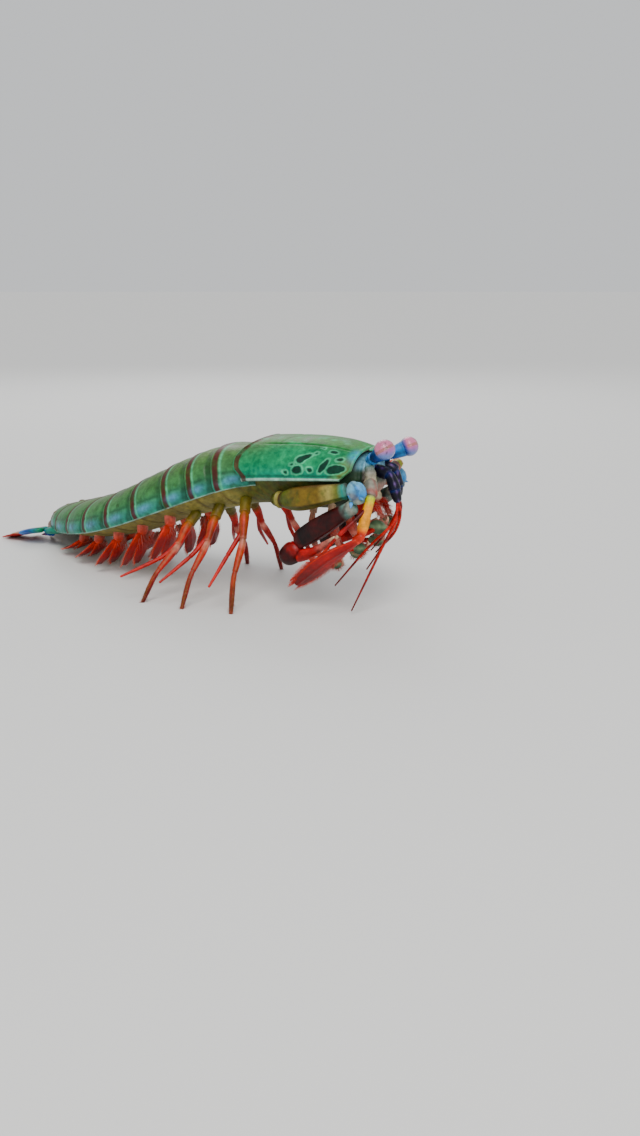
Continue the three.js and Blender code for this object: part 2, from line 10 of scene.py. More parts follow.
import bpy
import numpy as np
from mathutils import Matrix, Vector


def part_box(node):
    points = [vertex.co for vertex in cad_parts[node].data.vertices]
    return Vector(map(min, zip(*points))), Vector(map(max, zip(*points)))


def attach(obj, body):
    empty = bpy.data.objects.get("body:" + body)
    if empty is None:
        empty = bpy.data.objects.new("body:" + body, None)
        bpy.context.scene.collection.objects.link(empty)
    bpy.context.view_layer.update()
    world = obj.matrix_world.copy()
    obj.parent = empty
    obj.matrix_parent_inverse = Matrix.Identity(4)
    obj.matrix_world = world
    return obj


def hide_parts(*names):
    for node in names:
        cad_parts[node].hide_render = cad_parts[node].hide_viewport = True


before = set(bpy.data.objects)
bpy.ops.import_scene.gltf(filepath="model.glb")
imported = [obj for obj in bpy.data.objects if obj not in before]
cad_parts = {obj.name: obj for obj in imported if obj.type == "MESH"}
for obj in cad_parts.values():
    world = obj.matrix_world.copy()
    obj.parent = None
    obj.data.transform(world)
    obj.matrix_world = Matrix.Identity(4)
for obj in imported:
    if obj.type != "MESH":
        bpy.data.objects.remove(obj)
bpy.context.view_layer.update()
chance = np.random.default_rng(7)

MM = 0.001

# Driving sizes of the body, in millimetres and degrees.
CARAPACE_LENGTH = 32.0
SHELL_THICKNESS = 0.9
THORAX_STATIONS = (27.0, 38.4, 46.0, 54.0)
ABDOMEN_STATIONS = (54.0, 64.8, 75.8, 87.0, 98.6, 110.6, 122.3)
ABDOMEN_END = 122.3
TELSON_END = 145.5
TAIL_SWING = 36.0
RIM_TO_FLOOR_AT_TAIL = 1.35
FIRST_STATION = -10.0
STEP = 0.5
SIDES = (("right", -1), ("left", 1))


def table(rows):
    """Smooth interpolation through rows of (place, size)."""
    x = np.array([row[0] for row in rows], float)
    y = np.array([row[1] for row in rows], float)
    before = np.maximum(np.arange(len(x)) - 1, 0)
    after = np.minimum(np.arange(len(x)) + 1, len(x) - 1)
    slope = (y[after] - y[before]) / (x[after] - x[before])

    def value(places):
        at = np.clip(places, x[0], x[-1])
        i = np.clip(np.searchsorted(x, at, side="left") - 1, 0, len(x) - 2)
        span = x[i + 1] - x[i]
        t = (at - x[i]) / span
        rise = y[i + 1] - y[i]
        a = slope[i] * span - rise
        b = -slope[i + 1] * span + rise
        return y[i] + t * rise + t * (1 - t) * ((1 - t) * a + t * b)

    return value


BODY_PITCH = table([(-10, 3), (26, 5), (40, 20), (64, 23), (92, 13), (114, 7), (124, 11), (146, 17)])
CARAPACE_HALF_WIDTH = table([(-1, 10.2), (8, 11.5), (20, 12.9), (35, 13.6)])
CARAPACE_HEIGHT = table([(-1, 6.7), (2.5, 8), (7, 9.1), (15, 9.9), (35, 10.2)])
CORE_HALF_WIDTH = table([(-4, 3.6), (-2, 5.2), (1, 7), (7, 8.4), (16, 9.4), (27, 10)])
CORE_HEIGHT = table([(-4, 3.1), (-2, 4.6), (1, 5.8), (7, 7.7), (15, 8.5), (27, 8.7)])
CORE_DEPTH = table([(-4, 1.6), (-2, 4), (1, 6.6), (7, 8.2), (16, 8.4), (27, 7.8)])
BODY_HALF_WIDTH = table([
    (27, 11), (34, 11.6), (38, 12.9), (54, 14), (70, 15), (92, 15.4), (112, 14.6), (123, 13),
])
BODY_HEIGHT = table([(27, 8.3), (34, 8.9), (38, 9.8), (54, 9.9), (75, 9), (100, 8.3), (123, 6.4)])
BODY_DEPTH = table([(27, 7.6), (40, 7), (54, 5.4), (62, 4.4), (123, 3.6)])


def smooth(x, low, high):
    """Rises from 0 at low to 1 at high."""
    t = np.clip((np.asarray(x, float) - low) / (high - low), 0, 1)
    return t * t * (3 - 2 * t)


def hump(x, middle, width):
    """A bell of height 1 about a middle."""
    return np.exp(-(((np.asarray(x, float) - middle) / width) ** 2))


def bent(x, power):
    """A power that keeps the sign, for fuller or slimmer sections than a circle's."""
    return np.sign(x) * np.abs(x) ** power


def unit(vectors):
    vectors = np.asarray(vectors, float)
    return vectors / np.maximum(np.linalg.norm(vectors, axis=-1, keepdims=True), 1e-9)


class Spine:
    """The body's reference line: where each station is and which way it faces."""

    def __init__(self):
        self.stations = np.arange(FIRST_STATION, TELSON_END + 4 + 1e-6, STEP)
        yaw = -np.radians(TAIL_SWING) * smooth(self.stations, 28, 120)
        pitch = np.radians(BODY_PITCH(self.stations))
        self.forward = np.stack(
            [np.cos(yaw) * np.cos(pitch), np.sin(yaw) * np.cos(pitch), np.sin(pitch)], -1
        )
        self.left = np.stack([-np.sin(yaw), np.cos(yaw), np.zeros_like(yaw)], -1)
        self.up = np.cross(self.forward, self.left)
        steps = np.vstack([np.zeros(3), -self.forward[:-1] * STEP])
        self.at = np.array([-FIRST_STATION, 0, 0]) + np.cumsum(steps, 0)
        end = int(round((TELSON_END - FIRST_STATION) / STEP))
        self.rim_height = RIM_TO_FLOOR_AT_TAIL - self.at[end, 2]

    def point(self, station, across, up):
        station, across, up = np.broadcast_arrays(*(np.asarray(v, float) for v in (station, across, up)))
        exact = (station - FIRST_STATION) / STEP
        i = np.clip(np.floor(exact).astype(int), 0, len(self.stations) - 2)
        t = (exact - i)[..., None]

        def mix(values):
            return values[i] * (1 - t) + values[i + 1] * t

        lifted = mix(self.at) + mix(self.left) * across[..., None] + mix(self.up) * up[..., None]
        return lifted + np.array([0, 0, self.rim_height])


spine = Spine()

# The near eye's place fixes how far the model's origin lies from the body's own.
NEAR_EYE = (7.0, -7.6, 7.4)
FAR_EYE = (7.4, 7.0, 6.4)
eye_low, eye_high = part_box("eye_right")
eye_middle = np.array((eye_low + eye_high) / 2) / MM
SHIFT = eye_middle - np.array([NEAR_EYE[0], NEAR_EYE[1], NEAR_EYE[2] + spine.rim_height])


def body(station, across, up):
    """Points on the body, in millimetres of the model's frame."""
    return spine.point(station, across, up) + SHIFT


def head(points):
    """Points near the head: forward, to the left and above the rims."""
    return np.asarray(points, float) + np.array([0, 0, spine.rim_height]) + SHIFT


def beside(points, y):
    """Points near the head, given for the left side; y is 1 for that side and -1 for the right."""
    return head(np.asarray(points, float) * (1, y, 1))


# The studio light is bright, so paints are deeper and richer than the colours they show.
PAINT_DEPTH = 1.4
PAINT_RICHNESS = 1.3


def colour(code):
    """A paint from the six hex digits of the colour it should show, as linear light."""
    parts = np.array([int(code[i:i + 2], 16) for i in (0, 2, 4)]) / 255
    light = np.where(parts <= 0.04045, parts / 12.92, ((parts + 0.055) / 1.055) ** 2.4)
    richer = light.mean() + (light - light.mean()) * PAINT_RICHNESS
    return np.clip(richer, 0.004, 1) ** PAINT_DEPTH


def blend(a, b, share):
    """Mixes two colours, or arrays of colours, by a share for each point."""
    share = np.asarray(share, float)[..., None]
    return a * (1 - share) + b * share


def layered(base, *layers):
    """Lays paints over a base, each by a share for every point. Layers are (paint, share)."""
    for paint, share in layers:
        base = blend(base, paint, share)
    return base


def gradient(*rows):
    """Colours along a limb, from rows of (share of the length, colour)."""
    places = [row[0] for row in rows]
    colours = np.array([row[1] for row in rows])

    def value(t, turn=None):
        return np.stack([np.interp(t, places, colours[:, k]) for k in range(3)], -1)

    return value


# Colours, matched to the photo at the front and taken from the species behind it.
GREEN_TOP = colour("528032")
GREEN = colour("268f6c")
TEAL = colour("259088")
DEEP_GREEN = colour("134a33")
SPOT_GREEN = colour("104f42")
MINT = colour("7cc8a6")
RIM = colour("b4cfc4")
OLIVE = colour("6d7440")
LOBE_OLIVE = colour("7f8450")
OLIVE_TAN = colour("80703f")
BAND_RED = colour("5a1712")
CREAM = colour("cfc6b0")
GREY_CREAM = colour("9b9b92")
HEAD_BLUE = colour("8fb8c9")
PALE_PINK = colour("cc9a90")
OLIVE_CREAM = colour("aaa274")
GREY_TEAL = colour("6f8580")
PALE_BLUE = colour("8db4d6")
SKY_BLUE = colour("5f9bc8")
BLUE = colour("2d66a4")
DEEP_BLUE = colour("1f3f6e")
NAVY = colour("161d33")
PINK = colour("cf93ac")
LILAC = colour("a98cc4")
YELLOW = colour("d6a51c")
YELLOW_GREEN = colour("b6c04a")
ORANGE = colour("d2601a")
RED = colour("a3170a")
DEEP_RED = colour("7a140c")
PINK_RED = colour("b8473c")
MAROON = colour("4c1512")
CRIMSON = colour("a31622")
DARK = colour("160c10")
BULB_GREEN = colour("8c9c84")
BULB_DARK = colour("4c6252")


# The mark of points far from any spot, as a distance in millimetres.
NO_SPOT = 9.0


class Shape:
    """Gathers closed surfaces, with a colour at each point, and makes one object of them."""

    def __init__(self):
        self.points = []
        self.faces = []
        self.tones = []
        self.marks = []
        self.roots = []
        self.count = 0

    def add(self, points, faces, tones, marks=None, roots=None):
        if enclosed(points, faces) < 0:
            faces = [part[:, ::-1] for part in faces]
        self.points.append(points)
        self.faces.extend(part + self.count for part in faces)
        self.tones.append(tones)
        self.marks.append(np.zeros(len(points)) if marks is None else marks)
        if roots is not None:
            self.roots.append(roots)
        self.count += len(points)

    def tube(self, rings, tone):
        """A tube of rings (rings, sides, 3), closed at both ends."""
        count, sides = rings.shape[:2]

        def with_ends(values):
            return np.concatenate([values.reshape(-1, 3), [values[0].mean(0), values[-1].mean(0)]])

        number = np.arange(count * sides).reshape(count, sides)
        following = np.roll(number, -1, 1)
        end = np.full(sides, number.size)
        caps = np.concatenate([
            np.stack([end, following[0], number[0]], -1),
            np.stack([end + 1, number[-1], following[-1]], -1),
        ])
        self.add(with_ends(rings), [walls(number), caps], with_ends(np.broadcast_to(tone, rings.shape)))

    def plate(self, surface, half, relief, tone, inner_tone, mark=0.0):
        """A closed plate about a middle surface (rows, columns, 3), with relief on its outer face."""
        facing = outward(surface)
        faces_at = [surface + facing * (half + relief)[..., None], surface - facing * half[..., None]]
        number = np.arange(half.size).reshape(half.shape)
        grid = np.stack([number[:-1, :-1], number[1:, :-1], number[1:, 1:], number[:-1, 1:]], -1)
        grid = grid.reshape(-1, 4)
        border = np.concatenate([number[0, :-1], number[:-1, -1], number[-1, :0:-1], number[:0:-1, 0]])
        following = np.roll(border, -1)
        edge = np.stack([border, following, following + half.size, border + half.size], -1)
        tones = [np.broadcast_to(paint, surface.shape) for paint in (tone, inner_tone)]
        marks = [np.broadcast_to(mark, half.shape), np.full(half.shape, NO_SPOT)]
        self.add(
            np.concatenate(faces_at).reshape(-1, 3), [grid, grid[:, ::-1] + half.size, edge],
            np.concatenate(tones).reshape(-1, 3), np.concatenate(marks).ravel(),
        )

    def make(self, name, material, node, slot):
        """Makes the object, which rides on the body and stands for the named solid, if any."""
        mesh = bpy.data.meshes.new(name)
        faces = [row for part in self.faces for row in part.tolist()]
        mesh.from_pydata((np.concatenate(self.points) * MM).tolist(), [], faces)
        tones = np.clip(np.concatenate(self.tones), 0, 1)
        tones = np.concatenate([tones, np.ones((len(tones), 1))], 1)
        mesh.attributes.new("tone", "FLOAT_COLOR", "POINT").data.foreach_set("color", tones.ravel())
        mesh.attributes.new("mark", "FLOAT", "POINT").data.foreach_set("value", np.concatenate(self.marks))
        if self.roots:
            corners = np.empty(len(mesh.loops), int)
            mesh.loops.foreach_get("vertex_index", corners)
            unwrapped = np.concatenate(self.roots)[corners].ravel()
            mesh.uv_layers.new(name="OFBake").data.foreach_set("uv", unwrapped)
        mesh.polygons.foreach_set("use_smooth", np.ones(len(mesh.polygons), bool))
        mesh.materials.append(material)
        mesh.update()
        piece = bpy.data.objects.new(name, mesh)
        bpy.context.scene.collection.objects.link(piece)
        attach(piece, "root")
        if node:
            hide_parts(node)


def walls(number):
    """The quads of closed tubes whose points are numbered as (..., rings, sides)."""
    following = np.roll(number, -1, -1)
    corners = [number[..., :-1, :], following[..., :-1, :], following[..., 1:, :], number[..., 1:, :]]
    return np.stack(corners, -1).reshape(-1, 4)


def enclosed(points, faces):
    """The signed volume inside a closed surface."""
    total = 0.0
    for part in faces:
        a = points[part[:, 0]]
        for k in range(1, part.shape[1] - 1):
            total += np.einsum("ij,ij->", a, np.cross(points[part[:, k]], points[part[:, k + 1]]))
    return total


def eased(count, finer=0.6):
    """Shares from 0 to 1 that lie closer together at both ends."""
    even = np.linspace(0, 1, count)
    return even * (1 - finer) + (0.5 - 0.5 * np.cos(np.pi * even)) * finer


def outward(surface):
    """Unit normals on the bulging side of a surface given as rows and columns of points."""
    facing = unit(np.cross(np.gradient(surface, axis=0), np.gradient(surface, axis=1)))
    middle = surface.shape[0] // 2, surface.shape[1] // 2
    bulge = surface[middle] - surface.mean((0, 1))
    return facing if facing[middle] @ bulge > 0 else -facing


class Line:
    """A smooth curve through a few points, measured along its length."""

    def __init__(self, points, tension=0.35):
        p = np.asarray(points, float)
        p = np.vstack([2 * p[0] - p[1], p, 2 * p[-1] - p[-2]])
        t = np.linspace(0, 1, 60)[:, None]
        pieces = []
        for i in range(1, len(p) - 2):
            start = tension * (p[i + 1] - p[i - 1])
            stop = tension * (p[i + 2] - p[i])
            rise = p[i + 1] - p[i]
            pieces.append(
                p[i] + start * t + (3 * rise - 2 * start - stop) * t**2 + (start + stop - 2 * rise) * t**3
            )
        self.points = np.concatenate([pieces[0]] + [piece[1:] for piece in pieces[1:]])
        steps = np.linalg.norm(np.diff(self.points, axis=0), axis=1)
        self.reach = np.concatenate([[0], np.cumsum(steps)])
        self.length = self.reach[-1]
        self.shares = self.reach / self.length
        self.tangents = unit(np.gradient(self.points, axis=0))

    def at(self, t):
        return np.stack([np.interp(t, self.shares, self.points[:, k]) for k in range(3)], -1)

    def along(self, t):
        return unit(np.stack([np.interp(t, self.shares, self.tangents[:, k]) for k in range(3)], -1))

    def frame(self, t, wide):
        along = self.along(t)
        wide = np.asarray(wide, float)
        across = unit(wide - along * (along @ wide)[..., None])
        return self.at(t), across, np.cross(along, across)


def rounding(depth, radius, least=0.0004):
    """The share of its full width that a rounded end has at a depth from its tip."""
    return np.sqrt(np.clip(1 - (1 - np.clip(depth / radius, 0, 1)) ** 2, least, 1))


def around(count):
    """Turns round a limb."""
    return np.linspace(0, 2 * np.pi, count, endpoint=False)


# How a limb's length ends: the collar's height and the roundness of hidden and open ends.
COLLAR = 0.08
HIDDEN_START = 0.5
COLLAR_ROUNDING = 0.3


def limb(shape, path, size, tone, joints=(0, 1), wide=(0, 0, 1), sides=28, tension=0.35,
         relief=None, neck=0.72, fullness=1.0, per_mm=6, ends=(0.8, 0.8)):
    """A jointed limb along a path or a Line. Each length between joints is a closed lobe.

    size rows are (share of the length, half width, half thickness), the last left out where
    the limb is round. tone is a colour or a function of the share and the turn. relief adds a
    height to each point of the skin.
    A length starts narrow, inside the one before, and ends in a blunt, raised collar.
    ends says how far the limb's own two ends are rounded, by their thickness.
    """
    line = path if isinstance(path, Line) else Line(path, tension)
    half_width = table([row[:2] for row in size])
    half_thickness = table([(row[0], row[-1]) for row in size])
    turn = around(sides)[None, :]
    for number in range(len(joints) - 1):
        start, stop = joints[number], joints[number + 1]
        span = (stop - start) * line.length
        is_first, is_last = number == 0, number == len(joints) - 2
        if not is_first:
            start -= min(0.25 * (stop - start), 0.8 / line.length)
        count = int(np.clip(span * per_mm, 14, 90))
        t = start + (stop - start) * eased(count, 0.8)
        from_start = (t - start) * line.length
        to_end = (stop - t) * line.length
        wide_here, thick_here = half_width(t), half_thickness(t)
        bulk = np.sqrt(wide_here * thick_here)
        scale = rounding(from_start, bulk[0] * (ends[0] if is_first else HIDDEN_START))
        scale = scale * rounding(to_end, bulk[-1] * (ends[1] if is_last else COLLAR_ROUNDING))
        if not is_first:
            scale = scale * (neck + (1 - neck) * smooth(from_start, 0, min(0.35 * span, 3.2 * bulk[0])))
        if not is_last:
            scale = scale * (1 + COLLAR * hump(to_end, 0.25 * bulk[-1], 0.5 * bulk[-1]))
        at, across, other = line.frame(t, wide)
        side = bent(np.cos(turn), fullness) * (wide_here * scale)[:, None]
        over = bent(np.sin(turn), fullness) * (thick_here * scale)[:, None]
        rings = at[:, None] + across[:, None] * side[..., None] + other[:, None] * over[..., None]
        if relief is not None:
            height = relief(t[:, None], turn, from_start[:, None], to_end[:, None])
            rings = rings + unit(rings - at[:, None]) * (height * np.minimum(scale, 1)[:, None])[..., None]
        tones = tone(t[:, None] + 0 * turn, turn + 0 * t[:, None]) if callable(tone) else tone
        shape.tube(rings, tones)
    return line


def ribs(*rows):
    """Relief of ridges and grooves that run along a limb.

    Rows are (height, place as a cosine of the turn, width) and, for one that starts further
    along, the two shares of the length between which it rises.
    """
    def relief(t, turn, from_start=None, to_end=None):
        total = 0
        for height, place, width, *rise in rows:
            total = total + height * hump(np.cos(turn), place, width) * (smooth(t, *rise) if rise else 1)
        return total

    return relief


def streak(tone, paint, strength, place, width, *rise):
    """Paints a streak along a limb. Place, width and rise are as in ribs."""
    mask = ribs((strength, place, width, *rise))
    return lambda t, turn: blend(tone(t, turn), paint, mask(t, turn))


def edged(tone, paint, strength, start, *rise):
    """Paints both edges of a flat limb, outside a start given as a cosine of the turn."""
    def painted(t, turn):
        share = strength * smooth(np.abs(np.cos(turn)), start, 1)
        return blend(tone(t, turn), paint, share * smooth(t, *rise) if rise else share)

    return painted


def ball(shape, centre, radii, axis, tone, rings=36, sides=48, relief=lambda a, b, c: 0.0):
    """An ellipsoid whose second radius lies along axis. tone and relief are functions.

    They take the place on the ball from -1 to 1: sideways, along the axis, and across both.
    """
    axis = unit(axis)
    side = unit(np.cross(axis, [0, 0, 1] if abs(axis[2]) < 0.9 else [1, 0, 0]))
    over = np.cross(side, axis)
    lat = np.linspace(-np.pi / 2 + 0.03, np.pi / 2 - 0.03, rings)[:, None]
    lon = around(sides)[None, :]
    place = np.cos(lat) * np.cos(lon), np.sin(lat) + 0 * lon, np.cos(lat) * np.sin(lon)
    stretch = 1 + relief(*place)
    ways = [
        way * (share * radius * stretch)[..., None]
        for way, share, radius in zip((side, axis, over), place, radii)
    ]
    shape.tube(np.asarray(centre) + (ways[0] + ways[1] + ways[2]), tone(*place))


def spikes(shape, bases, tips, radii, tone, tip_tone, sides, rings, curve=(0, 0, 0)):
    """Tapered spines, each from a base to a tip, bowed towards a direction."""
    t = np.linspace(0, 1, rings)
    turn = around(sides)[:, None]
    for base, tip, radius in zip(bases, tips, np.broadcast_to(radii, len(bases))):
        along = unit(tip - base)
        side = unit(np.cross(along, [0.3, 0.2, 0.9]))
        over = np.cross(along, side)
        centre = base + (tip - base) * t[:, None] + np.asarray(curve) * (4 * t * (1 - t))[:, None]
        width = radius * (1 - t) ** 0.75 * 0.94 + radius * 0.06
        spokes = side * np.cos(turn) + over * np.sin(turn)
        tones = blend(tone, tip_tone, t[:, None] + 0 * turn[:, 0])
        shape.tube(centre[:, None] + spokes * width[:, None, None], tones)


def bristles(shape, roots, ways, lengths, radius, tone, tip_tone, place, bend=(0, 0, 0), rings=5):
    """Fine bristles as closed three-sided threads.

    place holds each root's spot, from 0 to 1, on an unwrap of the skin that it grows from.
    """
    count = len(roots)
    t = np.linspace(0, 1, rings)
    ways = unit(ways)
    side = unit(np.cross(ways, [0.21, 0.34, 0.91]))
    over = np.cross(ways, side)
    lengths = np.broadcast_to(lengths, count)[:, None, None]
    bend = np.broadcast_to(np.asarray(bend, float), (count, 3))
    centre = roots[:, None] + ways[:, None] * (t[None, :, None] * lengths)
    centre = centre + bend[:, None] * (t[None, :, None] ** 2 * lengths)
    width = radius * (1 - 0.85 * t)
    turn = around(3)[None, :, None]
    spokes = side[:, None] * np.cos(turn) + over[:, None] * np.sin(turn)
    points = centre[:, :, None] + spokes[:, None] * width[None, :, None, None]
    first, last = (np.broadcast_to(paint, (count, 3))[:, None, None, :] for paint in (tone, tip_tone))
    tones = blend(first, last, t[None, :, None] + np.zeros((count, 1, 3)))
    spread = np.broadcast_arrays((t - 0.5)[:, None], (np.arange(3) / 3 - 0.33)[None, :])
    uv = np.asarray(place)[:, None, None] + (0.003 * np.stack(spread, -1))[None]
    number = np.arange(count * rings * 3).reshape(count, rings, 3)
    caps = np.concatenate([number[:, 0, ::-1], number[:, -1]])
    shape.add(points.reshape(-1, 3), [walls(number), caps], tones.reshape(-1, 3), roots=uv.reshape(-1, 2))


# How many bristles each brush holds.
MOUTH_BRISTLES = 260
MAXILLIPED_BRISTLES = 130
LEG_BRISTLES = 260
GILL_THREADS = 70
PADDLE_BRISTLES = 70


def edge_bristles(shape, line, size, wide, t, inset, out, ahead, wander, length, vary, radius, tones,
                  least=0.0):
    """A fringe along both edges of a flat blade, with a bristle at each share t on each edge.

    out and ahead say how far the bristles lean away from the blade and along it. Their ways
    wander at random, and their lengths vary between two shares, with a least length added.
    """
    half_width = table([row[:2] for row in size])
    at, across, _ = line.frame(t, wide)
    for edge in (-1, 1):
        roots = at + across * (edge * half_width(t) * inset)[:, None]
        ways = across * edge * (out + 0 * t)[:, None] + line.along(t) * (ahead + 0 * t)[:, None]
        ways = ways + chance.normal(0, wander, (len(t), 3))
        lengths = length * chance.uniform(*vary, len(t)) + least
        bristles(shape, roots, ways, lengths, radius, *tones, np.stack([t, 0 * t + 0.5 + 0.2 * edge], -1))


def brush(shape, line, wide, t, off, ahead, vary, radius, tone, tip_tone):
    """Bristles all round a limb, at the shares t. tone may be a function that draws colours."""
    at, across, other = line.frame(t, wide)
    turn = chance.uniform(0, 2 * np.pi, len(t))[:, None]
    away = across * np.cos(turn) + other * np.sin(turn)
    tones = tone() if callable(tone) else tone
    bristles(shape, at + away * off, away + line.along(t) * ahead, chance.uniform(*vary, len(t)),
             radius, tones, tip_tone, np.stack([t, turn[:, 0] / (2 * np.pi)], -1))


# Materials. Scales are cells to the metre, and depths are in metres.
SPECKLE_SCALE = 900
COAT_ROUGHNESS = 0.18
BUMP_DISTANCE = 0.0002
SOFT_DEPTH = 0.0008
RING_WOBBLE_SCALE = 700


def add_node(tree, kind, inputs=None, **settings):
    """Adds a shader node and returns its outputs. An input is a value or another node's output."""
    made = tree.nodes.new("ShaderNode" + kind)
    for name, value in settings.items():
        setattr(made, name, value)
    for name, value in (inputs or {}).items():
        if isinstance(value, bpy.types.NodeSocket):
            tree.links.new(value, made.inputs[name])
        else:
            made.inputs[name].default_value = value
    return made.outputs


def noise(tree, place, scale, detail):
    return add_node(tree, "TexNoise", {"Vector": place, "Scale": scale, "Detail": detail})["Fac"]


def ranged(tree, value, low, high, start, stop, kind="LINEAR"):
    """Maps a value that runs from low to high onto start to stop."""
    ends = {"Value": value, "From Min": low, "From Max": high, "To Min": start, "To Max": stop}
    return add_node(tree, "MapRange", ends, interpolation_type=kind)["Result"]


def mixed(tree, share, base, over):
    return add_node(tree, "Mix", {"Factor": share, "A": base, "B": (*over, 1)}, data_type="RGBA")["Result"]


def spotted(tree, place, base, dark, ring):
    """Dark spots with pale rings, where the mesh's mark is the distance to a spot's edge.

    A wobble adds 0.45 on average to the mark, which the ranges allow for.
    """
    mark = add_node(tree, "Attribute", attribute_name="mark")["Fac"]
    wobble = noise(tree, place, RING_WOBBLE_SCALE, 3)
    offset = add_node(tree, "Math", {0: wobble, 1: 0.9, 2: mark}, operation="MULTIPLY_ADD")["Value"]
    ringed = mixed(tree, ranged(tree, offset, 0.53, 1.01, 0.6, 0, "SMOOTHSTEP"), base, ring)
    return mixed(tree, ranged(tree, offset, 0.11, 0.59, 1, 0, "SMOOTHSTEP"), ringed, dark)


def material(name, rough, coat, speckle, bump=0.3, bump_scale=2200, pits=0.0, soft=0.0, specular=0.5,
             mottle=None, spots=None):
    """A shelly or fleshy finish that takes its colour from the mesh.

    mottle is a colour and its strength, for cloudy patches a few millimetres wide. spots is
    the colour of the dark spots and the colour of their rings.
    """
    made = bpy.data.materials.new(name)
    made.use_nodes = True
    tree = made.node_tree
    place = add_node(tree, "TexCoord")["Object"]
    coarse = noise(tree, place, SPECKLE_SCALE * 0.25, 4)
    fine = noise(tree, place, SPECKLE_SCALE, 3)
    shade = ranged(tree, fine, 0.3, 0.7, 1 - speckle, 1 + speckle)
    drift = ranged(tree, coarse, 0.3, 0.7, 1 - speckle * 1.3, 1 + speckle * 1.3)
    both = add_node(tree, "Math", {0: shade, 1: drift}, operation="MULTIPLY")["Value"]
    base = add_node(tree, "Attribute", attribute_name="tone")["Color"]
    if mottle is not None:
        patches = noise(tree, place, SPECKLE_SCALE * 0.4, 6)
        cloud = ranged(tree, patches, 0.5, 0.72, 0, mottle[1], "SMOOTHSTEP")
        base = mixed(tree, cloud, base, mottle[0])
    if spots is not None:
        base = spotted(tree, place, base, *spots)
    varied = add_node(tree, "VectorMath", {0: base, "Scale": both}, operation="SCALE")["Vector"]
    height = noise(tree, place, bump_scale, 4)
    if pits:
        cells = add_node(tree, "TexVoronoi", {"Scale": bump_scale * 0.55, "Vector": place})["Distance"]
        height = add_node(tree, "Math", {0: cells, 1: pits, 2: height}, operation="MULTIPLY_ADD")["Value"]
    relief = add_node(tree, "Bump", {"Strength": bump, "Distance": BUMP_DISTANCE, "Height": height})
    shader = tree.nodes["Principled BSDF"]
    values = {
        "Coat Weight": coat, "Coat Roughness": COAT_ROUGHNESS, "Subsurface Weight": soft,
        "Subsurface Scale": SOFT_DEPTH, "Specular IOR Level": specular,
    }
    for key, value in values.items():
        shader.inputs[key].default_value = value
    tree.links.new(varied, shader.inputs["Base Color"])
    tree.links.new(ranged(tree, coarse, 0.3, 0.7, rough - 0.07, rough + 0.1), shader.inputs["Roughness"])
    tree.links.new(relief["Normal"], shader.inputs["Normal"])
    return made


shell = material("shell", rough=0.44, coat=0.05, bump=0.25, pits=0.6, speckle=0.2, specular=0.22,
                 mottle=(colour("3c5b28"), 0.6))
shield = material("shield", rough=0.44, coat=0.02, bump=0.25, pits=0.6, speckle=0.22, specular=0.16,
                  mottle=(colour("4fae86"), 0.45), spots=(SPOT_GREEN, MINT))
skin = material("skin", rough=0.5, coat=0.03, bump=0.5, bump_scale=1500, speckle=0.22, specular=0.25,
                mottle=(colour("4b4a35"), 0.5))
limbs = material("limbs", rough=0.42, coat=0.06, bump=0.3, pits=0.4, speckle=0.24, soft=0.03, specular=0.22)
dark_limbs = material("dark_limbs", rough=0.4, coat=0.06, bump=0.3, pits=0.5, speckle=0.3, specular=0.2,
                      mottle=(colour("1a0c0c"), 0.6))
cornea = material("cornea", rough=0.2, coat=0.6, bump=0.35, bump_scale=5200, pits=1.6, speckle=0.08)
hair = material("hair", rough=0.5, coat=0.0, bump=0.0, speckle=0.15, soft=0.15)


# The carapace: a thin shield with a pale rolled rim and dark spots on its front half.
# Spots are (station, height up the side, half length, half height, tilt in degrees).
SPOTS = (
    (4.7, 3.3, 2.5, 1.25, -14), (13.0, 5.9, 2.2, 0.75, -28), (13.9, 5.4, 1.2, 0.95, -20),
    (14.5, 2.8, 1.45, 1.05, -6), (7.8, 4.0, 2.2, 0.75, -60), (11.3, 2.9, 0.8, 0.62, 10),
    (3.9, 6.3, 0.95, 0.6, -24), (5.9, 8.4, 1.1, 0.65, -10), (16.0, 4.1, 0.55, 0.4, 0),
    (17.6, 2.2, 0.7, 0.45, 14), (10.2, 7.4, 0.6, 0.4, -20), (8.9, 9.4, 0.5, 0.35, 0),
)
SPOTS_END = 22
CARAPACE_COLUMNS = 230
CARAPACE_ROWS = 170
# The half width and height of a middle section, and how full its sides and top are.
CARAPACE_SECTION = (12.5, 9.6)
CARAPACE_SIDE_BEND = 0.82
CARAPACE_TOP_BEND = 0.8


def even_turns(count):
    """Turns from one rim over the back to the other, at even steps along the shell."""
    side = np.linspace(-1, 1, 2001)
    x = CARAPACE_SECTION[0] * bent(np.sin(side * np.pi / 2), CARAPACE_SIDE_BEND)
    z = CARAPACE_SECTION[1] * bent(np.cos(side * np.pi / 2), CARAPACE_TOP_BEND)
    reach = np.concatenate([[0], np.cumsum(np.hypot(np.diff(x), np.diff(z)))])
    wanted = eased(count, 0.35) * reach[-1]
    return np.interp(wanted, reach, side), np.minimum(wanted, reach[-1] - wanted)


def carapace_front(side):
    return side**2 + 2 * smooth(np.abs(side), 0.8, 1) + 0.7 * smooth(np.abs(side), 0.95, 1)


def carapace_rear(side):
    hollow = 4.5 * (1 - smooth(np.abs(side), 0, 0.75))
    return CARAPACE_LENGTH - hollow - 2 * smooth(np.abs(side), 0.8, 1)


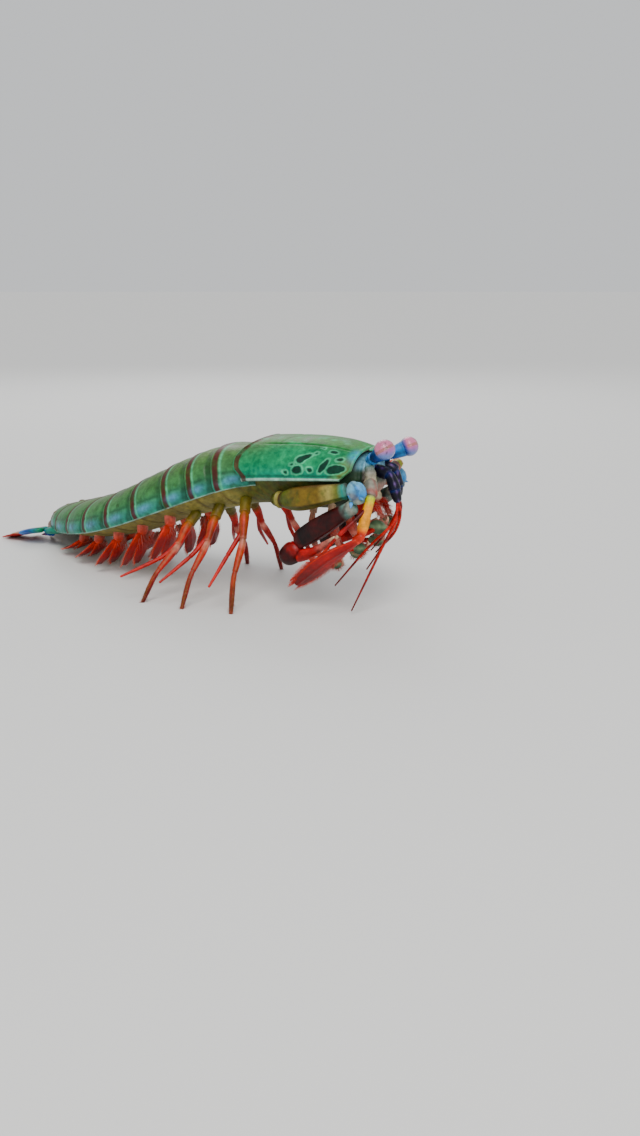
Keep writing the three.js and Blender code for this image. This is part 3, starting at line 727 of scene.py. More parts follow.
def spot_distance(station, climb, flip):
    """Distance in millimetres to the edge of the nearest spot; below 0 inside one."""
    nearest = np.full(station.shape, NO_SPOT)
    for s, g, long, high, tilt in SPOTS:
        angle = math.radians(tilt)
        ds, dg = station - s, climb - g
        if flip:
            ds = ds * 0.92 + 0.4 * math.sin(s * 3)
        a = ds * math.cos(angle) + dg * math.sin(angle)
        b = -ds * math.sin(angle) + dg * math.cos(angle)
        away = (np.sqrt((a / long) ** 2 + (b / high) ** 2) - 1) * math.sqrt(long * high)
        nearest = np.minimum(nearest, away)
    return nearest


def make_carapace():
    side, climb = even_turns(CARAPACE_COLUMNS)
    side, climb = side[None, :], climb[None, :]
    share = eased(CARAPACE_ROWS, 0.5)[:, None]
    front, rear = carapace_front(side), carapace_rear(side)
    station = front + (rear - front) * share
    middle = SHELL_THICKNESS / 2
    turn = side * np.pi / 2
    across = (CARAPACE_HALF_WIDTH(station) - middle) * bent(np.sin(turn), CARAPACE_SIDE_BEND)
    up = (CARAPACE_HEIGHT(station) - middle) * bent(np.cos(turn), CARAPACE_TOP_BEND)
    surface = body(station, across, up)
    to_front, to_rear = station - front, rear - station
    edge = np.minimum(np.minimum(to_front, to_rear), climb)
    half = middle * rounding(edge, 0.5, 0.02)
    rim = hump(climb, 0.45, 0.42) + 0.7 * hump(to_rear, 0.5, 0.45) + 0.35 * hump(to_front, 0.4, 0.35)
    groove = hump(np.abs(side), 0.36, 0.016) * smooth(to_front, 1.5, 4) * smooth(to_rear, 3, 7)
    cross = hump(station, 19.5 + 1.2 * np.abs(side) * 3, 0.5) * (1 - smooth(np.abs(side), 0.3, 0.5))
    fold = hump(climb, 1.25, 0.3)
    relief = 0.18 * rim - 0.22 * groove - 0.1 * cross - 0.12 * fold

    band = smooth(to_rear, 0.35, 0.6) * (1 - smooth(to_rear, 1.5, 1.9))
    base = layered(
        GREEN,
        (GREEN_TOP, smooth(climb, 7, 13) * 0.75),
        (TEAL, 0.6 * (1 - smooth(climb, 0, 5))),
        (LOBE_OLIVE, 0.85 * (1 - smooth(to_front, 1.2, 4.6)) * (1 - smooth(climb, 5, 9))),
        (SKY_BLUE, 0.7 * (1 - smooth(to_front, 0, 3)) * hump(climb, 9, 3)),
        (OLIVE, 0.45 * smooth(station, 18, 30) * smooth(climb, 3, 10)),
        # Deep green in the grooves, in the cross groove and in the fold above the rim is painted shade.
        (DEEP_GREEN, 0.35 * groove + 0.5 * fold + 0.25 * cross),
        (RIM, np.clip(smooth(0.9 - climb, 0, 0.3) + 0 * station, 0, 1) * 0.9),
        (MINT, 0.3 * smooth(0.7 - to_front, 0, 0.3)),
        (BAND_RED, 0.85 * band),
    )
    mark = np.where(side < 0, spot_distance(station, climb, False), spot_distance(station, climb, True))
    mark = np.where((climb < 1.0) | (to_front < 0.7) | (station > SPOTS_END), NO_SPOT, mark)
    shape = Shape()
    shape.plate(surface, half, relief, base, CREAM * 0.8, mark)
    shape.make("carapace_shell", shield, "carapace", "shield")


def make_rostrum():
    def relief(t, turn, start, end):
        return 0.16 * hump(np.cos(turn), 0, 0.16) * np.sign(-np.sin(turn)) * smooth(t, 0.1, 0.3)

    tones = gradient((0, GREEN_TOP), (0.5, GREEN), (1, MINT))
    shape = Shape()
    limb(
        shape, head([(0.5, 0, 6.5), (2.8, 0, 6.4), (5.2, 0, 5.6)]),
        [(0, 4.6, 0.6), (0.35, 3.9, 0.7), (0.75, 2.3, 0.6), (1, 0.7, 0.3)],
        lambda t, turn: blend(tones(t), MINT, 0.7 * hump(np.abs(np.cos(turn)), 1, 0.12)),
        wide=(0, 1, 0), sides=60, per_mm=9, relief=relief,
    )
    shape.make("rostrum_plate", shell, "rostrum", "shield")


# The body between shell plates: one skin from the head to the telson.
def body_section(turn, width, height, depth):
    rise = np.sin(turn)
    across = width * bent(np.cos(turn), 0.8)
    up = np.where(rise > 0, height * bent(rise, 0.85), depth * bent(rise, 1.5))
    return across, up


SKIN_START = -4.0
CORE_END = 27.0
SKIN_UNDER_SHELL = 1.3
SKIN_SIDES = 160


def make_skin():
    front_half = SKIN_START + (CORE_END - SKIN_START) * eased(150, 0.4)
    rear_half = np.linspace(CORE_END + 0.1, ABDOMEN_END + 1, 420)
    stations = np.concatenate([front_half, rear_half])
    in_core = stations < CORE_END
    width = np.where(in_core, CORE_HALF_WIDTH(stations), BODY_HALF_WIDTH(stations) - SKIN_UNDER_SHELL)
    height = np.where(in_core, CORE_HEIGHT(stations), BODY_HEIGHT(stations) - SKIN_UNDER_SHELL)
    depth = np.where(in_core, CORE_DEPTH(stations), BODY_DEPTH(stations) - 0.15)
    cap = rounding(stations - SKIN_START, 1.6, 0.001) * rounding(stations[-1] - stations, 1.5, 0.001)
    turn = around(SKIN_SIDES)[None, :]
    folds = sum(hump(stations, joint, 0.55) for joint in THORAX_STATIONS[1:] + ABDOMEN_STATIONS[1:-1])
    below = smooth(-np.sin(turn), 0.1, 0.5)
    pinch = 1 - 0.1 * folds[:, None] * below
    across, up = body_section(
        turn, (width * cap)[:, None], (height * cap)[:, None], (depth * cap)[:, None] * pinch
    )
    s = stations[:, None] + 0 * turn
    keel = hump(across, 0, 0.8) * below * 0.25 * smooth(s, 27, 30)
    front = 1 - smooth(s, 0.5, 2)
    level = up / np.maximum(height, 1)[:, None]
    ridge = hump(np.cos(level * 9), 1, 0.35) * front
    swell = 1 + 0.035 * ridge + 0.06 * hump(s, -0.9, 0.45) - 0.07 * hump(s, 0.2, 0.5)
    points = body(s, across * swell, up * (1 + (swell - 1) * 0.6) + keel)
    tone = layered(
        GREY_CREAM,
        (GREY_TEAL, 0.75 * hump(up, 0.3, 1.6)),
        (PALE_PINK, 0.5 * hump(up, -2.6, 1.2)),
        (OLIVE_TAN, 0.35 * ridge * hump(np.abs(across), 4, 2)),
        # The maroon stripe just in front of the carapace's front edge and the deep green under the shell are
        # painted shade cast by the carapace.
        (MAROON, 0.75 * hump(s, -0.9, 0.6) * smooth(-up, -3, -1)),
        (DEEP_GREEN, smooth(s, -1, -0.1) * 0.92),
        (OLIVE, 0.8 * smooth(s, 6, 14)),
        (OLIVE_TAN, 0.5 * hump(np.cos(s * 1.1 + across), 0, 0.5) * smooth(s, 8, 16)),
        (HEAD_BLUE, (1 - smooth(s, -1, 2.5)) * smooth(up, 1.6, 3.2) * 0.85),
        (PINK_RED, (1 - smooth(s, 1, 4)) * smooth(-up, 3, 5) * 0.8),
        (OLIVE_CREAM, 0.6 * below * smooth(s, 27, 40)),
        (MAROON, 0.4 * folds[:, None] * below),
    )
    shape = Shape()
    shape.tube(points, tone)
    shape.make("body_skin", skin, "head", "underside")


SEGMENT_COLUMNS = 190
SEGMENT_ROWS = 64
SEGMENT_TURN = math.radians(99)
LOBE_TURN = math.radians(72)
LOBE_DEPTH = 10.7


def make_segment(start, stop, lobe_lean):
    """One shell ring over the back, with a banded, lifted rear edge and lobed sides."""
    turn = (eased(SEGMENT_COLUMNS, 0.45) * 2 - 1)[None, :] * SEGMENT_TURN
    share = eased(SEGMENT_ROWS, 0.5)[:, None]
    lobe = smooth(np.abs(turn), LOBE_TURN, SEGMENT_TURN)
    front = start + 0.1 + 1.5 * lobe**2 * lobe_lean
    rear = stop + 0.25 + 0.5 * lobe
    station = front + (rear - front) * share
    away = np.cos(turn)
    middle = 0.4
    scale = 1 - 0.045 * (1 - smooth(share, 0, 0.5))
    width = BODY_HALF_WIDTH(station) * scale - middle
    height = BODY_HEIGHT(station) * scale - middle
    across = width * bent(np.sin(turn), 0.8)
    up = np.where(away > 0, height * bent(np.abs(away), 0.85), LOBE_DEPTH * away)
    across = across - 0.5 * np.sign(turn) * smooth(-away, 0, 0.16)
    surface = body(station, across, up)
    to_front, to_rear = station - front, rear - station
    steps = np.diff(surface[SEGMENT_ROWS // 2], axis=0)
    reach = np.cumsum(np.linalg.norm(steps, axis=1))
    reach = np.concatenate([[0], reach])[None, :]
    climb = np.minimum(reach, reach[0, -1] - reach)
    edge = np.minimum(np.minimum(to_front, to_rear), climb)
    half = middle * rounding(edge, 0.45, 0.02)
    bead = hump(to_rear, 0.45, 0.4)
    rim = hump(climb, 0.4, 0.35)
    step = smooth(to_front, 1.6, 2.3)
    groove = hump(climb, 4.3, 0.4) * smooth(to_front, 1, 3) * smooth(to_rear, 1, 2.5)
    relief = 0.12 * bead + 0.14 * rim - 0.2 * (1 - step) - 0.14 * groove
    back = smooth(climb, 4, 16)
    base = layered(
        GREEN,
        (OLIVE, 0.4 + 0.45 * back),
        (GREEN_TOP, 0.35 * hump(share, 0.5, 0.3) * back),
        (TEAL, 0.7 * (1 - smooth(climb, 1, 6))),
        # Deep green on the front strip that tucks under the ring before, and in the side groove, is painted
        # shade.
        (DEEP_GREEN, 0.55 * (1 - step) + 0.45 * groove),
        (BAND_RED, 0.95 * smooth(to_rear, 0.5, 0.75) * (1 - smooth(to_rear, 1.7, 2.1))),
        (MINT, 0.55 * hump(to_rear, 2.35, 0.28)),
        (RIM, 0.7 * smooth(0.6 - climb, 0, 0.25)),
        (PALE_BLUE, 0.5 * hump(climb, 2.4, 0.9) * hump(share, 0.55, 0.2)),
    )
    shape = Shape()
    shape.plate(surface, half, relief, base, CREAM * 0.7)
    return shape


def make_body_plates():
    groups = (("thorax", 6, THORAX_STATIONS, 0.6), ("abdomen", 1, ABDOMEN_STATIONS, 1))
    for group, first, stations, lobe_lean in groups:
        for number, (start, stop) in enumerate(zip(stations, stations[1:]), first):
            name = f"{group}_{number}"
            shape = make_segment(start, stop, lobe_lean)
            if name == "abdomen_6":
                add_rear_spines(shape)
            shape.make(f"{name}_shell", shell, name, "body_shell")


def add_rear_spines(shape):
    """The last abdominal ring's keels, which end in backward spines."""
    for across in (-11.4, -7.4, -3, 3, 7.4, 11.4):
        up = 6.4 * math.sqrt(1 - (across / 13.4) ** 2)
        path = body(
            ABDOMEN_END + np.array([-8, -3, 1.6]), across * np.array([0.99, 1, 1.02]),
            up + np.array([0.1, 0.2, 0]),
        )
        limb(
            shape, path, [(0, 0.25), (0.4, 0.65), (0.75, 0.6), (1, 0.1)],
            gradient((0, OLIVE), (0.6, OLIVE_TAN), (1, BAND_RED)), sides=20, per_mm=5,
        )


# Eyes and their stalks. Rows are (side, eye, socket, tilt of the midband, colours of the stalk).
EYES = (
    ("right", NEAR_EYE, (0.8, -3.2, 3.6), 0.35,
     gradient((0, PALE_BLUE), (0.26, SKY_BLUE), (0.42, DEEP_BLUE), (0.75, BLUE), (1, SKY_BLUE))),
    ("left", FAR_EYE, (0.8, 3.2, 3.6), -0.25,
     gradient((0, SKY_BLUE), (0.4, BLUE), (0.7, SKY_BLUE), (1, BLUE))),
)
EYE_RADII = (2.6, 2.35, 2.5)
MIDBAND = 0.16


def make_eye(side, eye, socket, lean, tones):
    centre, root = head(eye), head(socket)
    shape = Shape()
    limb(
        shape, [root, root * 0.55 + centre * 0.45 + np.array([0, 0, -0.2]), centre],
        [(0, 1.3), (0.4, 1.5), (0.75, 1.95), (1, 2.15)], streak(tones, NAVY, 0.5, -0.2, 0.3),
        joints=(0, 0.34, 1), sides=44, per_mm=9,
        relief=lambda t, turn, a, b: 0.05 * np.cos(t * 90) * hump(t, 0.36, 0.07),
    )
    shape.make(f"eye_stalk_{side}_skin", limbs, f"eye_stalk_{side}", "eye_stalk")

    # The midband lies across the eye, tilted a little, in a shallow groove.
    def height(a, c):
        return c * math.cos(lean) + a * math.sin(lean)

    def tone(a, b, c):
        up = height(a, c)
        strip = smooth(MIDBAND - np.abs(up), 0, 0.03) * smooth(b, -0.35, -0.1)
        lines = 0.5 + 0.5 * np.cos(up / MIDBAND * 3 * np.pi)
        facing = hump(a, 0.3, 0.1) * smooth(b, 0, 0.3)
        dots = [hump(up, level, 0.13) * facing for level in (-0.42, 0, 0.42)]
        return layered(
            PINK,
            (LILAC, smooth(-up, -0.1, 0.6) * 0.8),
            (SKY_BLUE, smooth(-c - 0.5 * b, -0.1, 0.7) * 0.75),
            (BLUE, smooth(-b, 0.05, 0.6)),
            (PALE_PINK, 0.7 * strip),
            (MAROON, 0.55 * strip * lines),
            *((DARK, 0.75 * dot) for dot in dots),
        )

    shape = Shape()
    ball(
        shape, centre, EYE_RADII, centre - root, tone, rings=110, sides=180,
        relief=lambda a, b, c: -0.02 * hump(height(a, c), 0, 0.1),
    )
    shape.make(f"eye_{side}_cornea", cornea, f"eye_{side}", "eye")


# Antennules: three short lengths and three ringed feelers.
ANTENNULES = {
    "right": {
        "peduncle": [(1.5, -2.3, 1.6), (6.4, -2.8, 0.2), (8.9, -3.2, -6.2)],
        "feelers": [
            [(8.8, -3.2, -5.8), (8.4, -3.6, -11), (5.8, -4.6, -16.8), (-0.9, -9, -33.8)],
            [(8.8, -3.2, -5.8), (8.2, -4.4, -11), (2, -6.5, -18), (-6, -8, -28)],
            [(8.8, -3.2, -5.8), (9.2, -2.4, -9.5), (7, -1.1, -14.5), (2, -0.9, -20)],
        ],
    },
    "left": {
        "peduncle": [(1.5, 2.3, 1.6), (5.2, 3.1, 0.4), (6.4, 3, -6)],
        "feelers": [
            [(6.3, 3, -5.6), (6.2, 4.8, -10.5), (2.2, 6, -18), (-4, 7, -27)],
            [(6.3, 3, -5.6), (5.8, 5.8, -10), (0, 8, -16.5), (-8, 10, -23)],
            [(6.3, 3, -5.6), (6.4, 1.8, -9.5), (4, 0.5, -15), (0, 0.6, -20)],
        ],
    },
}


FEELER_PITCH = 0.75


def feeler(shape, path, thickness, tone):
    """A thin feeler made of many short rings."""
    line = Line(path, tension=0.5)
    size = [(0, thickness), (0.6, thickness * 0.85), (1, thickness * 0.5)]
    wave = 2 * np.pi * line.length / FEELER_PITCH

    def relief(t, turn, start, end):
        return 0.07 * thickness * np.cos(t * wave)

    def rings(t, turn):
        return blend(tone(t), MAROON, 0.35 * smooth(-np.cos(t * wave), 0.2, 0.9))

    limb(shape, line, size, rings, sides=14, relief=relief, per_mm=9)


def make_antennule(side):
    parts = ANTENNULES[side]
    tones = gradient(
        (0, BLUE), (0.12, NAVY), (0.36, NAVY), (0.4, DEEP_BLUE), (0.46, NAVY), (0.7, NAVY),
        (0.74, DEEP_BLUE), (0.8, NAVY), (0.94, NAVY), (1, DEEP_BLUE),
    )
    shape = Shape()
    limb(
        shape, head(parts["peduncle"]),
        [(0, 1.5), (0.3, 1.6), (0.42, 1.25), (0.7, 1.45), (1, 0.9)],
        # A lilac streak along the ridge on one side of each length is a painted highlight.
        lambda t, turn: blend(
            tones(t), LILAC, 0.5 * hump(np.cos(turn), 0.75, 0.12) * hump(np.cos(t * 18), 0, 0.6)),
        joints=(0, 0.4, 0.74, 1), sides=36, per_mm=8, neck=0.82,
        relief=ribs((0.12, 0.75, 0.2)),
    )
    thread = gradient((0, PINK_RED), (0.25, PINK_RED), (1, DEEP_RED))
    for path in parts["feelers"]:
        feeler(shape, head(path), 0.38, thread)
    shape.make(f"antennule_{side}_feelers", dark_limbs, f"antennule_{side}", "feeler")


# Antennae: base, feeler and fringed scale.
ANTENNAE = {
    "right": {
        "base": [(2.5, -5.5, -0.8), (4.2, -9.4, -4), (3.3, -13.1, -13.4)],
        "feeler": [(4.2, -10.6, -6.5), (1.5, -14.6, -10), (-1, -16.6, -12.8), (-6.6, -18, -19.6),
                   (-14, -17, -25.5)],
        "scale": [(3.2, -13.4, -14), (-4.4, -16, -19.4), (-12.1, -17.6, -26.2)],
        "width": (0.1, -0.7, 0.7),
    },
    "left": {
        "base": [(2, 5.5, -0.4), (3.2, 10.2, 1.2), (0.2, 15.4, 0.4)],
        "feeler": [(2.2, 12.6, 1.2), (-1, 17.4, 1.8), (-6, 19.6, 0.4), (-14, 21.6, -4.6), (-22, 22, -10.5)],
        "scale": [(-0.2, 15.9, 0.2), (-9, 18.6, -2.4), (-19.6, 20, -6.6)],
        "width": (0, 0.45, 0.9),
    },
}
SCALE_SIZE = (
    (0, 0.9, 0.7), (0.15, 1.6, 0.6), (0.4, 2.7, 0.5), (0.65, 3.2, 0.45), (0.88, 2.3, 0.35), (1, 0.8, 0.28),
)
SCALE_BRISTLES = 230


def make_antenna(side, y):
    parts = ANTENNAE[side]
    shape = Shape()
    plate = gradient((0, HEAD_BLUE), (0.2, GREY_TEAL), (0.4, GREY_CREAM), (0.75, CREAM), (1, PALE_PINK))
    limb(
        shape, beside([(0.6, 4.1, 3.2), (1.9, 5.2, 0.2), (2.2, 5.3, -3.6)], y),
        [(0, 1.3, 0.9), (0.4, 2, 1.3), (0.8, 1.9, 1.3), (1, 1.2, 0.9)],
        # The maroon streak along the plate's back, facing the carapace's front edge, is painted shade.
        streak(plate, MAROON, 0.5, -0.95, 0.2), wide=(1, 0.3 * y, 0), sides=48, per_mm=9,
        relief=lambda t, turn, a, b: 0.14 * np.cos(turn * 5) + 0.1 * np.cos(a * 4),
    )
    tones = gradient(
        (0, GREY_CREAM), (0.2, GREY_CREAM), (0.34, GREY_TEAL), (0.38, YELLOW_GREEN), (0.52, YELLOW),
        (0.85, YELLOW), (0.95, ORANGE), (1, ORANGE),
    )
    lined = streak(tones, OLIVE_TAN, 0.35, -0.8, 0.25)
    limb(
        shape, head(parts["base"]), [(0, 1.6), (0.3, 1.5), (0.5, 1.2), (0.85, 1.35), (1, 0.95)],
        lambda t, turn: blend(
            lined(t, turn), PINK_RED,
            0.4 * hump(t, 0.3, 0.05) + 0.25 * hump(np.cos(turn * 2 + 9 * t), 1, 0.3) * (t < 0.36)),
        joints=(0, 0.36, 1), sides=36, per_mm=8, neck=0.86,
        relief=lambda t, turn, a, b: (
            0.1 * hump(np.cos(turn), 0, 0.2) * smooth(t, 0.4, 0.5)
            + 0.1 * np.cos(turn * 4) * (1 - smooth(t, 0.3, 0.36))),
    )
    knee, wrist, tip = head([parts["base"][1], parts["base"][2], parts["scale"][1]])
    limb(
        shape, [wrist * 0.9 + knee * 0.1, wrist, wrist * 0.78 + tip * 0.22],
        [(0, 0.9), (0.5, 1.15), (1, 0.85)], gradient((0, ORANGE), (1, RED)), sides=30, per_mm=9,
    )
    path = head(parts["feeler"])
    limb(
        shape, path[:3], [(0, 0.62), (0.5, 0.5), (0.9, 0.56), (1, 0.45)],
        gradient((0, DEEP_RED), (0.4, MAROON), (0.55, DEEP_RED), (1, RED)),
        joints=(0, 0.5, 1), sides=24, per_mm=8, tension=0.5, neck=0.85,
    )
    feeler(shape, path[2:], 0.42, gradient((0, CREAM), (0.06, RED), (1, DEEP_RED)))
    shape.make(f"antenna_{side}_limb", limbs, f"antenna_{side}", "antenna")
    make_scale(side, Line(head(parts["scale"])), parts["width"])


def make_scale(side, line, width):
    """The antennal scale: a thin oval blade with a midrib and a fringe of bristles."""
    def relief(t, turn, from_start, to_end):
        rib = hump(np.cos(turn), 0.05, 0.16) * 0.16
        veins = 0.05 * np.cos(np.cos(turn) * 26 + t * 60) * (1 - hump(np.abs(np.cos(turn)), 1, 0.2))
        return (rib + veins) * smooth(t, 0.05, 0.2)

    along = gradient((0, ORANGE), (0.1, RED), (0.5, RED), (0.8, DEEP_RED), (1, DEEP_RED))
    tone = edged(streak(along, DEEP_RED, 0.5, 0.05, 0.2), ORANGE, 0.6, 0.86, 0.1, 0.3)
    shape = Shape()
    limb(shape, line, SCALE_SIZE, tone, wide=width, sides=72, relief=relief, per_mm=8)
    limb(shape, line.at(np.array([0, 0.06])), [(0, 0.95), (1, 0.8)], ORANGE, sides=30, per_mm=12)
    shape.make(f"antennal_scale_{side}_blade", limbs, f"antennal_scale_{side}", "scale")
    fringe = Shape()
    t = np.linspace(0.2, 0.995, SCALE_BRISTLES)
    edge_bristles(
        fringe, line, SCALE_SIZE, width, t, inset=0.95, out=1.1 - 0.7 * smooth(t, 0.7, 1),
        ahead=0.55 + 0.9 * smooth(t, 0.6, 1), wander=0.07, length=1.7 * smooth(t, 0.15, 0.4),
        vary=(0.8, 1.1), radius=0.06, tones=(RED, ORANGE), least=0.3,
    )
    fringe.make(f"antennal_scale_{side}_fringe", hair, None, "scale")


# Mouthparts: lip, jaws and small flaps under the head.
MOUTH_LIMB = ((-0.6, 1.9, -6.4), (2.6, 2.6, -7.6), (4.4, 2, -10.6))


def make_mouth():
    shape, hairs = Shape(), Shape()
    ball(
        shape, head((0.8, 0, -5.4)), (2.4, 2.2, 1.7), (1, 0, -0.4),
        lambda a, b, c: blend(CREAM, PINK_RED, smooth(-c, -0.3, 0.5)), 30, 40,
        relief=lambda a, b, c: -0.1 * hump(a, 0, 0.12) * smooth(b, 0, 0.5),
    )
    for y in (-1, 1):
        ball(
            shape, beside((-0.2, 2, -7.6), y), (1.7, 2.2, 1.5), (1, 0.3 * y, -0.5),
            lambda a, b, c: blend(PINK_RED, CRIMSON, smooth(b, -0.2, 0.7)), 30, 40,
        )
        line = limb(
            shape, beside(MOUTH_LIMB, y), [(0, 1.1, 0.9), (0.5, 0.95, 0.75), (1, 0.4, 0.35)],
            gradient((0, PALE_PINK), (0.3, PINK_RED), (0.7, CRIMSON), (1, PALE_PINK)),
            joints=(0, 0.4, 0.72, 1), per_mm=8,
        )
        for i in range(3):
            low = -7.6 - 0.8 * i
            path = [(-2.6 - 1.6 * i, 2.4, -6), (0.4 - 1.4 * i, 2.9, low), (1.4 - 1.4 * i, 0.9, low - 1.6)]
            limb(
                shape, beside(path, y), [(0, 0.8, 0.5), (0.5, 1, 0.45), (1, 0.5, 0.25)],
                gradient((0, PALE_PINK), (0.5, PINK_RED), (1, CRIMSON)),
                joints=(0, 0.5, 1), wide=(0.5, 0, 0.8), sides=24,
            )
        t = chance.uniform(0.3, 1, MOUTH_BRISTLES)
        brush(
            hairs, line, (0, 1, 0), t, off=0.5, ahead=1.1, vary=(0.9, 1.7), radius=0.055,
            tone=lambda: blend(CRIMSON, PALE_PINK, chance.uniform(0, 1, MOUTH_BRISTLES) * 0.7),
            tip_tone=PALE_PINK,
        )
    shape.make("mouth_lobes", skin, "mouthparts", "mouthpart")
    hairs.make("mouth_brushes", hair, None, "mouthpart")


# Striking arms, folded under the head.
def make_arm(side, y):
    merus = gradient(
        (0, MAROON), (0.1, OLIVE), (0.135, OLIVE_CREAM), (0.16, MAROON), (0.24, OLIVE),
        (0.45, OLIVE_TAN), (0.68, OLIVE_TAN), (0.8, OLIVE_CREAM), (0.9, OLIVE), (0.96, TEAL),
        (1, GREY_TEAL),
    )
    merus = streak(merus, BAND_RED, 0.6, 0.97, 0.12, 0.15, 0.5)
    merus_ribs = ribs((0.28, 0.9, 0.14, 0.1, 0.4), (0.22, -0.45, 0.1, 0.25, 0.5))
    shape = Shape()
    limb(
        shape, beside([(-23, 9.4, -7), (-13, 12.4, -5.6), (-0.2, 12.6, -2.5)], y),
        [(0, 1.5, 1.4), (0.1, 1.9, 1.7), (0.22, 2.6, 2), (0.5, 3, 2.2), (0.85, 2.15, 1.85),
         (1, 1.75, 1.5)],
        streak(merus, DEEP_GREEN, 0.6, -0.75, 0.25, 0.2, 0.4),
        joints=(0, 0.14, 1), sides=64, ends=(0.8, 0.4), neck=0.8,
        relief=lambda t, turn, a, b: (
            merus_ribs(t, turn) - 0.4 * hump(np.cos(turn), -0.8, 0.22) * hump(t, 0.6, 0.35)
            + 0.14 * hump(b, 0.7, 0.4)),
    )
    shape.make(f"striking_arm_merus_{side}_shell", shell, f"striking_arm_merus_{side}", "arm")

    joint = gradient((0, GREY_TEAL), (0.3, HEAD_BLUE), (0.55, SKY_BLUE), (0.8, GREY_TEAL))
    shape = Shape()
    limb(
        shape, beside([(-0.4, 12.6, -1.6), (1.8, 12.7, -2.4), (2, 12.5, -5.6)], y),
        [(0, 1.6, 1.45), (0.45, 2, 1.8), (1, 1.65, 1.5)],
        lambda t, turn: blend(
            blend(joint(t), GREY_CREAM, 0.75 * hump(np.cos(turn * 2 + t * 5), 1, 0.6)),
            DEEP_BLUE, 0.5 * hump(np.cos(turn * 3 - t * 7), 1, 0.25)),
        wide=(0.7, 0, 0.7), sides=56, per_mm=10, ends=(0.45, 0.4), fullness=0.76,
        relief=lambda t, turn, a, b: (
            0.34 * hump(np.cos(turn), 0.95, 0.2) * hump(t, 0.5, 0.3)
            + 0.1 * np.cos(turn * 4 + 1) - 0.2 * hump(t, 0.28, 0.06) - 0.18 * hump(t, 0.74, 0.06)),
    )
    spikes(
        shape, beside([(2.4, 13.8, -1.4), (3.2, 13.6, -3.6), (1.2, 14, -5.2)], y),
        beside([(3.6, 14.5, -1.5), (4.5, 14.1, -4), (1.6, 15.2, -6.1)], y), [0.6, 0.55, 0.5],
        SKY_BLUE, PALE_BLUE, 16, 9,
    )
    shape.make(f"striking_arm_carpus_{side}_shell", limbs, f"striking_arm_carpus_{side}", "arm_joint")

    # The hand's maroon is its own colour. The near black towards its low end by the club is painted shade
    # where the arm folds under the body.
    hand = gradient(
        (0, GREY_TEAL), (0.06, GREY_CREAM), (0.13, GREY_TEAL), (0.2, MAROON), (0.6, MAROON),
        (0.85, DARK), (1, DEEP_RED),
    )
    hand = streak(hand, DEEP_RED, 0.7, -0.9, 0.2, 0.2, 0.4)
    hand_ribs = ribs(
        (0.25, 0.95, 0.12, 0.15, 0.4), (0.25, -0.7, 0.12, 0.15, 0.4), (-0.35, -0.98, 0.12, 0.1, 0.3),
    )
    shape = Shape()
    limb(
        shape, beside([(1.7, 12.5, -5.8), (-6.4, 12.4, -11.4), (-15.4, 11, -17.2)], y),
        [(0, 1.6, 1.45), (0.2, 2.1, 1.85), (0.6, 2.7, 2), (0.9, 2.4, 1.8), (1, 1.6, 1.4)],
        lambda t, turn: blend(
            hand(t, turn), MAROON, 0.6 * hump(np.cos(turn * 3 + t * 30), 1, 0.5) * hump(t, 0.13, 0.06)),
        sides=64, ends=(0.5, 0.55),
        relief=lambda t, turn, a, b: hand_ribs(t, turn) + 0.12 * hump(a, 1, 0.5),
    )
    solid = f"striking_arm_propodus_{side}"
    shape.make(f"striking_arm_hand_{side}_shell", dark_limbs, solid, "arm_hand")

    shape = Shape()
    # The club is crimson on its upper front. The near black over its lower and rear part is painted shade.
    ball(
        shape, beside((-16.4, 11.2, -19.8), y), (2.5, 3.3, 2.9), (-0.8, 0, -0.6),
        lambda a, b, c: blend(CRIMSON, DARK, 0.92 * smooth(b - 0.4 * c, -0.75, 0.1)), 50, 64,
        relief=lambda a, b, c: 0.16 * smooth(b, 0.2, 1) - 0.05 * hump(b, -0.35, 0.12),
    )
    limb(
        shape, beside([(-15.4, 11.4, -20.6), (-10, 12.2, -18.8), (-3.6, 12.9, -14.2)], y),
        [(0, 1.8, 1.5), (0.5, 1.15, 1.05), (1, 0.3, 0.3)],
        gradient((0, CRIMSON), (0.5, RED), (0.85, PALE_PINK), (1, CREAM)),
        sides=40, relief=ribs((0.14, 0.9, 0.15, 0.1, 0.3)),
    )
    shape.make(f"striking_arm_club_{side}_shell", dark_limbs, f"striking_arm_club_{side}", "club")


# Small maxillipeds with round, flat hands, hooks and brushes of bristles.
# Rows are (number, root, elbow, middle of the hand, half length of the hand).
MAXILLIPEDS = (
    (3, (-4, 3.4, -6.5), (-1.4, 4.6, -15.4), (3.6, 3, -12.8), 2.5),
    (4, (-8.5, 4.2, -6.5), (-5.5, 5.8, -18.5), (-0.5, 5.2, -18.2), 2.1),
    (5, (-13, 4.8, -6.5), (-11.5, 6.4, -20.5), (-6.6, 6.2, -22.6), 1.8),
)


